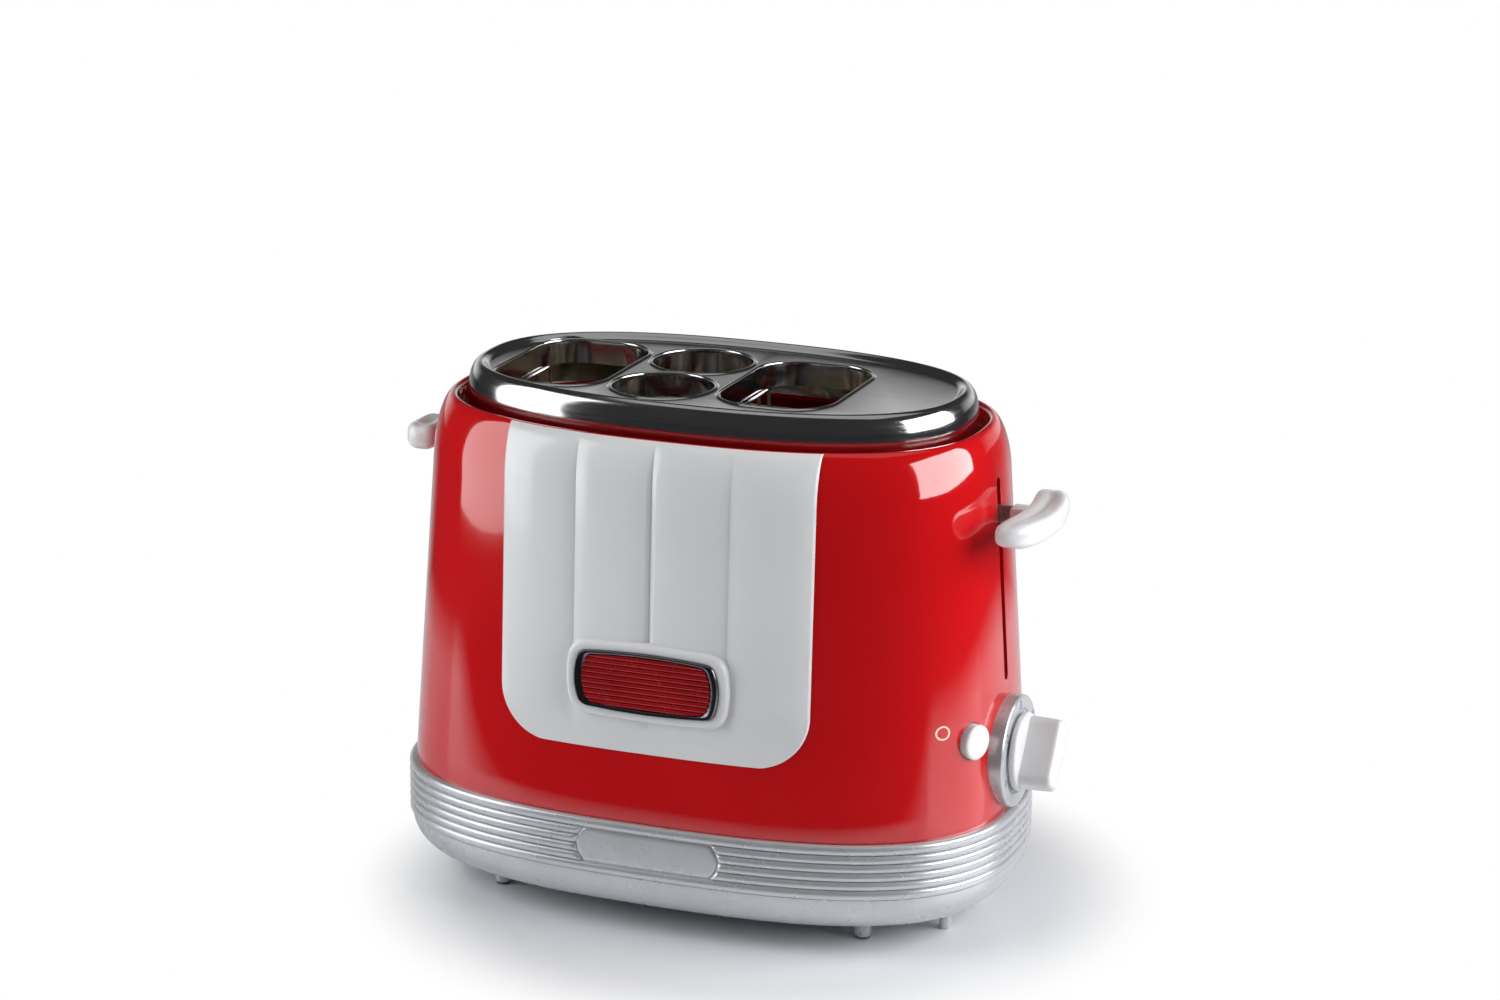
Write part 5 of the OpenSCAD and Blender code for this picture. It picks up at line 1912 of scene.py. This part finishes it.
@dataclass
class DialRing(Part):
    """The silver ring with its printed numbers."""

    size: DialSize = DIAL
    bore: float = 5

    def build(self) -> None:
        """Makes the ring, fits it to the housing and prints the numbers."""
        shop, size = self.shop, self.size
        r, face, knob = size.ring_r, size.face_x, size.knob_r
        profile = [(self.bore, 126), (self.bore, face - 1.2), (self.bore + 0.4, face - 0.8),
                   (knob + 0.4, face - 0.8), (knob + 0.9, face - 0.6), (knob + 1.3, face - 0.1),
                   (knob + 1.7, face), (r - 1.1, face), (r - 0.5, face - 0.15), (r - 0.12, face - 0.55),
                   (r, face - 1.2), (r, face - 4), (r, 118)]
        ring = shop.close(shop.lathe("dial_ring_turned", profile, (0, 0, size.z), (1, 0, 0), 160))
        rows = [(HOUSING.plan(z, -0.03), z) for z in (HOUSING.foot_z, 110)]
        shop.carve(ring, shop.outwards(shop.stack("cut", rows, caps=(True, True))),
                   shop.lathe("cut", [(self.bore, 0), (self.bore, 30)], (110, 0, size.z), (1, 0, 0)))
        shop.smooth(ring, 32)
        shop.hand_in(ring, Body.TOASTER, Slot.SILVER, "silver", ["dial_ring"])
        numbers = shop.join("dial_numbers", [self.number(k) for k in range(size.numbers)])
        shop.hand_in(numbers, Body.TOASTER, Slot.SILVER, "ink")

    def number(self, place: int) -> Obj:
        """One number, upright; they run clockwise round the ring as seen from the end.

        Args:
            place: Which one it is, from 0.

        Returns:
            The number as a mesh.
        """
        size = self.size
        curve = bpy.data.curves.new("number", "FONT")
        curve.body = str(place + 1)
        curve.size = size.number_size * MM
        curve.align_x, curve.align_y = "CENTER", "CENTER"
        curve.extrude = PRINT_PROUD * MM
        text = in_scene("number", curve)
        data = mesh_of(text)
        bpy.data.objects.remove(text)
        angle = math.radians((place - (size.numbers - 1) / 2) * size.number_step)
        centre = self.shop.metres((size.face_x + PRINT_PROUD, math.sin(angle) * size.number_r,
                                   size.z + math.cos(angle) * size.number_r))
        axes = Matrix(((0, 0, 1), (1, 0, 0), (0, 1, 0))).to_4x4()
        data.transform(Matrix.Translation(centre) @ axes)
        return in_scene("number", data)


@dataclass
class Knob(Part):
    """The dial's knob: a skirt and a grip bar with soft edges."""

    size: DialSize = DIAL
    grip_round: float = 4.2

    def build(self) -> None:
        """Makes the knob and its shaft."""
        shop, face = self.shop, self.size.face_x + self.size.knob_gap
        r, t = self.size.knob_r, self.size.skirt
        profile = [(0, 0), (r - 0.4, 0), (r, 0.35), (r, t - 1.2), (r - 0.15, t - 0.7), (r - 0.55, t - 0.3),
                   (r - 1.1, t - 0.1), (r - 4, t + 0.15), (0, t + 0.4)]
        skirt = shop.lathe("skirt", profile, (face, 0, self.size.z), (1, 0, 0), 144)
        shop.smooth(shop.outwards(skirt), 50)
        knob = shop.join("dial_knob_moulded", [skirt, self.grip(face)])
        shop.hand_in(knob, Body.DIAL, Slot.WHITE, "white", ["dial_knob"])
        shop.from_cad("dial_shaft", Body.DIAL, Slot.SHEET, "sheet", 0.3)

    def grip(self, face: float) -> Obj:
        """The grip bar: a rounded block that narrows a little towards its face.

        Args:
            face: Where the knob starts.

        Returns:
            The grip.
        """
        size = self.size
        turn = math.radians(size.grip_angle)
        depth = size.reach - face
        rows = [(0.0, 1.0), (-0.1, depth * 0.5), (-0.3, depth - 2.6)]
        rows += [(-2.6 + 2.3 * math.cos(a), depth - 2.4 + 2.4 * math.sin(a)) for a in arc(0, 90, 7)]

        def place(points: np.ndarray, out: float) -> np.ndarray:
            """Flat points turned about the dial's axis and put at a distance from the ring."""
            y, z = points[:, 0], points[:, 1]
            return np.column_stack([np.full(len(points), face + out),
                                    y * math.cos(turn) + z * math.sin(turn),
                                    size.z - y * math.sin(turn) + z * math.cos(turn)])

        outline = round_rect_outline(size.grip_w, size.grip_l, self.grip_round)
        grip = self.shop.sweep("grip", outline, rows, place, caps=(True, True))
        return self.shop.smooth(self.shop.outwards(grip), 45)


@dataclass
class StopButton(Part):
    """The round stop button with its domed face."""

    size: DialSize = DIAL

    def build(self) -> None:
        """Turns the button along its axis."""
        shop = self.shop
        centre, normal = button_frame()
        r, out = self.size.button_r, self.size.button_proud
        profile = [(0, -6.4), (2, -6.4), (2, -5.4), (r + 1.4, -5.4), (r + 1.4, -4), (r, -4), (r, out - 1.3)]
        profile += [(r - 1.3 + 1.3 * math.cos(a), out - 1.2 + 1.2 * math.sin(a)) for a in arc(0, 90, 6)]
        profile += [(r * 0.6, out + 0.25), (r * 0.3, out + 0.42), (0, out + 0.48)]
        button = shop.lathe("stop_button_moulded", profile, tuple(centre), tuple(normal))
        shop.smooth(shop.outwards(button), 40)
        shop.hand_in(button, Body.BUTTON, Slot.WHITE, "white", ["stop_button"])


@dataclass
class Heaters(Part):
    """Mica boards wound with heating ribbon."""

    nodes: tuple[str, ...] = ("heater_left_outer", "heater_left_inner", "heater_right_inner",
                              "heater_right_outer")
    strips: int = 16
    half_t: float = 0.5
    inner_y: float = 3.5
    outer_y: float = 38
    tab_y: Pair = (37, 46.8)
    tab_h: float = 10
    ribbon_half: float = 0.8
    ribbon_w: float = 1.6
    margin: float = 14

    def build(self) -> None:
        """Makes the four heaters."""
        for node in self.nodes:
            self.pair(node)

    def plate(self, x: float, ys: Pair, z: float, height: float) -> Obj:
        """A board or one of its tabs, with rounded edges."""
        low, high = (x - self.half_t, min(ys), z), (x + self.half_t, max(ys), z + height)
        return self.shop.bevel(self.shop.block("board", low, high), 0.2, 2)

    def pair(self, node: str) -> None:
        """The front and back board of one heater with their ribbon.

        Args:
            node: The CAD node that they stand for.
        """
        shop = self.shop
        low, high = shop.span_of(node)
        x, z, height = (low[0] + high[0]) / 2, low[2], high[2] - low[2]
        boards, ribbons = [], []
        for side in (-1, 1):
            boards.append(self.plate(x, (side * self.inner_y, side * self.outer_y), z, height))
            boards += [self.plate(x, (side * self.tab_y[0], side * self.tab_y[1]), foot, self.tab_h)
                       for foot in (z, z + height - self.tab_h)]
            y0, y1 = sorted((side * (self.inner_y + 2), side * (self.outer_y - 2)))
            strip = shop.block("strip", (x - self.ribbon_half, y0, z + self.margin),
                               (x + self.ribbon_half, y1, z + self.margin + self.ribbon_w))
            step = (height - 2 * self.margin - self.ribbon_w) / (self.strips - 1)
            shop.bevel(strip, 0.15, 2)
            ribbons.append(shop.repeat(strip, self.strips, (0, 0, step), "ribbon"))
        for name, made, slot, paint, nodes in (("_boards", boards, Slot.MICA, "mica", [node]),
                                               ("_ribbon", ribbons, Slot.SHEET, "ribbon", [])):
            piece = shop.smooth(shop.join(node + name, made), 40)
            shop.hand_in(piece, Body.TOASTER, slot, paint, nodes)


@dataclass
class Guards(Part):
    """Wires between the bun wells and the heaters."""

    wire_r: float = 0.75
    reach: float = 30.0
    wires: int = 6
    middle_z: float = 190

    def build(self) -> None:
        """Makes both guards."""
        for node in ("bun_guard_left", "bun_guard_right"):
            self.grids(node)

    def grids(self, node: str) -> None:
        """A flat grid on each side of the well: upright wires on three bars.

        Args:
            node: The CAD node that they stand for.
        """
        shop, r = self.shop, self.wire_r
        low, high = shop.span_of(node)
        z0, z1 = low[2] + r, high[2] - r
        step = 2 * self.reach / (self.wires - 1)
        wires = []
        for x in (low[0] + r, high[0] - r):
            wire = shop.tube("wire", [(x, -self.reach, z) for z in (z0, z1)], r)
            wires.append(shop.repeat(wire, self.wires, (0, step, 0), "polished"))
            bars = ((z0, high[1]), (self.middle_z, high[1]), (z1, self.reach + r))
            wires += [shop.tube("bar", [(x, -reach, z), (x, reach, z)], r) for z, reach in bars]
        grids = shop.smooth(shop.join(node + "_wires", wires), 50)
        shop.hand_in(grids, Body.TOASTER, Slot.POLISHED, "polished", [node])


@dataclass
class Carriages(Part):
    """The two lifting carriages: sliders, rail, frame, cradles, cups and springs."""

    wire_r: float = 1.2
    cradle_wires: int = 5
    cradle_reach: float = 25
    cup_r: float = 18.0
    cup_t: float = 0.9
    cup_steps: int = 96
    tab_half: float = 4
    tab_y: float = 42
    spring_wire: float = 0.5

    def build(self) -> None:
        """Makes both carriages, one kind of piece after the other."""
        shop = self.shop
        for node, body in (("bun_slider", Body.BUN), ("sausage_slider", Body.SAUSAGE)):
            shop.from_cad(node, body, Slot.PLASTIC, "plastic", 0.6)
        for node, body in (("bun_rail", Body.BUN), ("bun_keeper", Body.BUN),
                           ("sausage_frame", Body.SAUSAGE), ("sausage_keeper", Body.SAUSAGE)):
            shop.from_cad(node, body, Slot.SHEET, "sheet", 0.3)
        for node in ("bun_cradle_left", "bun_cradle_right"):
            self.cradle(node)
        self.cups()
        self.spring("bun_spring", "bun_lift", 14, 6, 0.255)
        self.spring("sausage_spring", "sausage_lift", 12, 4.6, 0.353)

    def cradle(self, node: str) -> None:
        """The wire grid at the foot of a bun well.

        Args:
            node: The CAD node that it stands for.
        """
        shop, r, reach = self.shop, self.wire_r, self.cradle_reach
        low, high = shop.span_of(node)
        y, z = high[1] - r, low[2] + r
        middle, half = (low[0] + high[0]) / 2, (high[0] - low[0]) / 2 - r
        wire = shop.tube("wire", [(middle - half, -reach, z), (middle + half, -reach, z)], r)
        step = 2 * reach / (self.cradle_wires - 1)
        wires = [shop.repeat(wire, self.cradle_wires, (0, step, 0), "polished")]
        hoop = moved(round_rect_outline(2 * half, 2 * y, 5), middle, 0)
        wires.append(shop.tube("hoop", upright(hoop(0), z), r, closed=True))
        cradle = shop.smooth(shop.join(node + "_wires", wires), 50)
        shop.hand_in(cradle, Body.BUN, Slot.POLISHED, "polished", [node])

    def cups(self) -> None:
        """Two cups with tall windows and a pierced floor, and the tabs that hold them."""
        shop, r = self.shop, self.cup_r
        low, high = shop.span_of("sausage_cups")
        frame_low, frame_high = shop.span_of("sausage_frame")
        cups = [self.cup((TOP.cook_x, side * TOP.sausage_y, low[2]), high[2] - low[2]) for side in (-1, 1)]
        for side in (-1, 1):
            y0, y1 = sorted((side * (TOP.sausage_y + r - 0.6), side * self.tab_y))
            tab = shop.block("tab", (TOP.cook_x - self.tab_half, y0, frame_low[2]),
                             (TOP.cook_x + self.tab_half, y1, frame_high[2]))
            cups.append(shop.bevel(tab, 0.3, 2))
        piece = shop.smooth(shop.join("sausage_cups_pierced", cups), 40)
        shop.hand_in(piece, Body.SAUSAGE, Slot.POLISHED, "polished", ["sausage_cups"])

    def pierced(self, spot: Vector, height: float) -> bool:
        """Whether a face of a cup is left out.

        Args:
            spot: The face's middle, from the middle of the cup's foot.
            height: The cup's height.

        Returns:
            True in the windows of the wall and in the holes of the floor.
        """
        turn = math.degrees(math.atan2(spot.y, spot.x)) % 90
        away = math.hypot(spot.x, spot.y)
        in_wall = away > self.cup_r - 0.2 and not 15 < turn < 75 and 13.5 < spot.z < height - 2
        in_floor = 9 < away < 11.5 and 12 < turn % 45 < 33
        return in_wall or in_floor

    def cup(self, foot: Point, height: float) -> Obj:
        """One cup: windows are left out of the wall's faces, and the sheet is thickened.

        Args:
            foot: The middle of its foot.
            height: Its height.

        Returns:
            The cup.
        """
        shop, r = self.shop, self.cup_r
        levels = [*np.linspace(0, 5, 4), *np.linspace(6, height - 6, 12), *np.linspace(height - 5, height, 4)]
        profile = [(0.01, 0.6), (6, 0.6), (9, 0.6), (11.5, 0.6), (r - 3, 0.5), (r - 1, 0.2), (r - 0.3, 0.9)]
        profile += [(r, z + 2) for z in levels[:-1]] + [(r, height)]
        cup = shop.lathe("cup", profile, foot, (0, 0, 1), self.cup_steps)
        origin = Vector((foot[0] + shop.shift, foot[1], foot[2]))
        with editing(cup) as work:
            drop = [face for face in work.faces
                    if self.pierced(face.calc_center_median() / MM - origin, height)]
            bmesh.ops.delete(work, geom=drop, context="FACES")
        return shop.thicken(cup, self.cup_t)

    def spring(self, node: str, joint: str, turns: int, radius: float, keep: float) -> None:
        """A wound spring.

        Args:
            node: The CAD node that it stands for.
            joint: The joint that it follows; not used.
            turns: How many turns it has.
            radius: From its axis to the middle of the wire.
            keep: Its shortest length as a share of its rest length; not used.
        """
        shop = self.shop
        low, high = shop.span_of(node)
        foot = ((low[0] + high[0]) / 2, 0, low[2])
        spring = shop.coil(node + "_wound", turns, radius, self.spring_wire, foot, high[2] - low[2], "sheet")
        shop.smooth(spring, 60)
        shop.hand_in(spring, Body.TOASTER, Slot.SHEET, "sheet", [node])
        tuple(shop.metres(foot))
        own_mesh(spring)


@dataclass
class Frame(Part):
    """Chassis, shields, rods, magnets and electrics: CAD nodes with rounded edges."""

    sheets: tuple[str, ...] = ("chassis_left", "chassis_right", "heat_shield_front", "heat_shield_back")
    rods: tuple[str, ...] = ("guide_rod_left", "guide_rod_right", "chassis_screws")
    moulded: tuple[str, ...] = ("potentiometer", "stop_switch", "cord_gland", "tray_runners")
    magnets: tuple[str, ...] = ("bun_latch_magnet", "sausage_latch_magnet")
    magnet_gap: float = 0.1

    def build(self) -> None:
        """Makes a rounded copy of each node."""
        for nodes, slot, paint, bevel, shrink in (
                (self.sheets, Slot.SHEET, "sheet", 0.2, 0), (self.rods, Slot.POLISHED, "polished", 0.3, 0),
                (self.moulded, Slot.PLASTIC, "plastic", 0.3, 0),
                (self.magnets, Slot.PLASTIC, "copper", 0.4, self.magnet_gap),
                (("circuit_board",), Slot.BOARD, "board", 0.15, 0),
                (("terminal_block",), Slot.WHITE, "ceramic", 0.4, 0)):
            for node in nodes:
                self.shop.from_cad(node, Body.TOASTER, slot, paint, bevel, shrink=shrink)


@dataclass
class Tray(Part):
    """The crumb tray and its curved front."""

    edge: float = 0.3

    def build(self) -> None:
        """Makes a rounded copy of each node."""
        self.shop.from_cad("crumb_tray", Body.TRAY, Slot.SHEET, "sheet", self.edge)
        self.shop.from_cad("tray_front", Body.TRAY, Slot.SILVER, "silver", self.edge, 40)


# ---------------------------------------------------------------------------------------
# Stage


@dataclass(frozen=True)
class Softbox:
    """A rectangular light in metres, placed by azimuth round the toaster."""

    name: str
    azimuth: float
    distance: float
    z: float
    aim_z: float
    width: float
    height: float
    glow: float
    mirrored: bool = True

    def hang(self) -> None:
        """Puts the light in the scene."""
        data = bpy.data.lights.new(self.name, "AREA")
        data.shape, data.size, data.size_y = "RECTANGLE", self.width, self.height
        data.energy = self.glow * math.pi * self.width * self.height
        light = in_scene(self.name, data)
        a = math.radians(self.azimuth)
        light.location = (math.sin(a) * self.distance, -math.cos(a) * self.distance, self.z)
        aim = Vector((0, 0, self.aim_z)) - light.location
        light.rotation_mode = "QUATERNION"
        light.rotation_quaternion = aim.to_track_quat("-Z", "Y")
        light.visible_glossy = self.mirrored
        light.visible_camera = False


@dataclass
class Studio(Part):
    """Camera, lights, floor and background, with lengths in metres."""

    camera: CameraSize = CAMERA
    ambient: float = 0.07
    mirrored_dark: float = 0.045
    backdrop: Point = (-0.34, 0.94, 0.0)
    backdrop_edge: Pair = (0.62, 0.84)
    backdrop_top: Pair = (0.34, 0.12)
    floor_half: float = 6.0
    floor_shift: float = -0.012
    floor_fade: Pair = (0.115, 0.175)
    lit_ahead: Pair = (-0.22, -0.15)
    lit_near: Pair = (0.62, 0.50)
    lit_behind: Pair = (0.66, 0.84)
    softboxes: tuple[Softbox, ...] = (
        Softbox("left", -61, 0.80, 0.51, 0.51, 0.50, 1.00, 2.6),
        Softbox("right", 97, 1.00, 0.60, 0.60, 1.10, 0.80, 6.6),
        Softbox("overhead", 180, 0.10, 1.50, 0.20, 1.30, 1.00, 0.4),
        Softbox("fill", -50, 1.30, 1.00, 0.12, 1.20, 1.20, 1.8, False),
    )

    def build(self) -> None:
        """Sets up everything that isn't the toaster."""
        self.place_camera()
        self.world()
        self.floor()
        for box in self.softboxes:
            box.hang()

    def place_camera(self) -> None:
        """The photograph's camera."""
        size = self.camera
        a, e, roll = (math.radians(v) for v in (size.azimuth, size.elevation, size.roll))
        back = Vector((math.sin(a) * math.cos(e), -math.cos(a) * math.cos(e), math.sin(e)))
        right = Vector((math.cos(a), math.sin(a), 0))
        up = back.cross(right)
        turned_right = right * math.cos(roll) + up * math.sin(roll)
        turned_up = up * math.cos(roll) - right * math.sin(roll)
        data = bpy.data.cameras.new("camera")
        data.lens, data.sensor_width, data.sensor_fit = size.lens, size.sensor, "HORIZONTAL"
        data.clip_end = 100
        camera = in_scene("camera", data)
        axes = Matrix((turned_right, turned_up, back)).transposed().to_4x4()
        camera.matrix_world = Matrix.Translation(self.shop.metres(size.place)) @ axes
        bpy.context.scene.camera = camera

    def world(self) -> None:
        """White behind the toaster; in reflections, dark with a bright low backdrop."""
        world = bpy.data.worlds.new("studio")
        world.use_nodes = True
        tree = Tree(world.node_tree)
        rays, way = tree.node("ShaderNodeLightPath"), tree.node("ShaderNodeTexCoord")
        back = tree.node("ShaderNodeVectorMath", operation="DOT_PRODUCT")
        back.inputs[1].default_value = self.backdrop
        low = tree.node("ShaderNodeSeparateXYZ")
        tree.link(way, "Generated", back, 0)
        tree.link(way, "Generated", low, 0)
        across = tree.span(back, "Value", self.backdrop_edge, (0, 1))
        under = tree.span(low, "Z", self.backdrop_top, (0, 1))
        both = tree.maths("MULTIPLY", (across, "Result"), (under, "Result"))
        mirrored = tree.node("ShaderNodeBackground")
        tree.link(tree.span(both, "Value", (0, 1), (self.mirrored_dark, 1)), "Result", mirrored, "Strength")
        lit = tree.node("ShaderNodeBackground", Strength=self.ambient)
        seen = tree.node("ShaderNodeBackground", Color=(1, 1, 1, 1))
        unseen = tree.blend((rays, "Is Glossy Ray"), (lit, 0), (mirrored, 0))
        both_kinds = tree.blend((rays, "Is Camera Ray"), (unseen, 0), (seen, 0))
        tree.link(both_kinds, 0, tree.node("ShaderNodeOutputWorld"), "Surface")
        bpy.context.scene.world = world
        bpy.context.scene.view_settings.view_transform = "Standard"

    def floor(self) -> None:
        """A pale floor that fades into the white background and is dark in far reflections."""
        data = bpy.data.meshes.new("floor")
        half = self.floor_half
        data.from_pydata([(-half, -half, 0), (half, -half, 0), (half, half, 0), (-half, half, 0)],
                         [], [(0, 1, 2, 3)])
        p = Painter("floor")
        p.set(Base_Color=(0.80, 0.82, 0.85, 1), Roughness=0.3, Specular_IOR_Level=0.3)
        away = p.node("ShaderNodeVectorMath", operation="LENGTH")
        spread = p.coordinates()
        spread.inputs["Location"].default_value = (self.floor_shift, 0, 0)
        p.link(spread, "Vector", away, 0)
        rays = p.node("ShaderNodeLightPath")
        fade = p.span(away, "Value", self.floor_fade, (0, 1), True)
        seen = p.maths("MULTIPLY", (rays, "Is Camera Ray"), (fade, "Result"))
        white = p.blend((seen, "Value"), (p.shader, "BSDF"), (p.node("ShaderNodeEmission"), "Emission"))
        hidden = p.maths("MULTIPLY", (rays, "Is Glossy Ray"), (self.unlit(p, away), "Value"))
        dim = p.node("ShaderNodeEmission", Color=(0.03, 0.03, 0.035, 1))
        p.link(p.blend((hidden, "Value"), (white, "Shader"), (dim, "Emission")), "Shader", p.out, "Surface")
        data.materials.append(p.material)
        in_scene("floor", data)

    def unlit(self, p: Painter, away: Node) -> Node:
        """Where the floor is dark in reflections: far off, apart from the backdrop's foot.

        Args:
            p: The floor's painter.
            away: The node that gives the distance from the toaster.

        Returns:
            The node, whose Value is 1 where the floor is dark.
        """
        spot = p.node("ShaderNodeSeparateXYZ")
        p.link(p.place, "Object", spot, 0)
        way = p.node("ShaderNodeVectorMath", operation="NORMALIZE")
        p.link(p.place, "Object", way, 0)
        toward = p.node("ShaderNodeVectorMath", operation="DOT_PRODUCT")
        p.link(way, "Vector", toward, 0)
        toward.inputs[1].default_value = self.backdrop
        ahead = p.span(spot, "Y", self.lit_ahead, (0, 1))
        near = p.span(away, "Value", self.lit_near, (0, 1))
        behind = p.span(toward, "Value", self.lit_behind, (0, 1))
        close = p.maths("MULTIPLY", (ahead, "Result"), (near, "Result"))
        return p.maths("SUBTRACT", 1.0, (p.maths("MAXIMUM", (close, "Value"), (behind, "Result")), "Value"))


def main() -> None:
    """Builds the toaster and its studio."""
    logging.basicConfig(level=logging.INFO, format="%(name)s: %(message)s")
    for obj in list(bpy.data.objects):
        bpy.data.objects.remove(obj)
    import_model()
    shop = Workshop(Paintbox())
    parts = [
        Housing(shop), FrontPanel(shop), Badge(shop), Base(shop), SteelTop(shop),
        Lever(shop, BUN_LEVER, 1, Body.BUN, "bun_lever"),
        Lever(shop, SAUSAGE_LEVER, -1, Body.SAUSAGE, "sausage_lever"),
        DialRing(shop), Knob(shop), StopButton(shop), Heaters(shop), Guards(shop),
        Carriages(shop), Frame(shop), Tray(shop), Studio(shop),
    ]
    for part in parts:
        part.build()


if __name__ == "__main__":
    main()
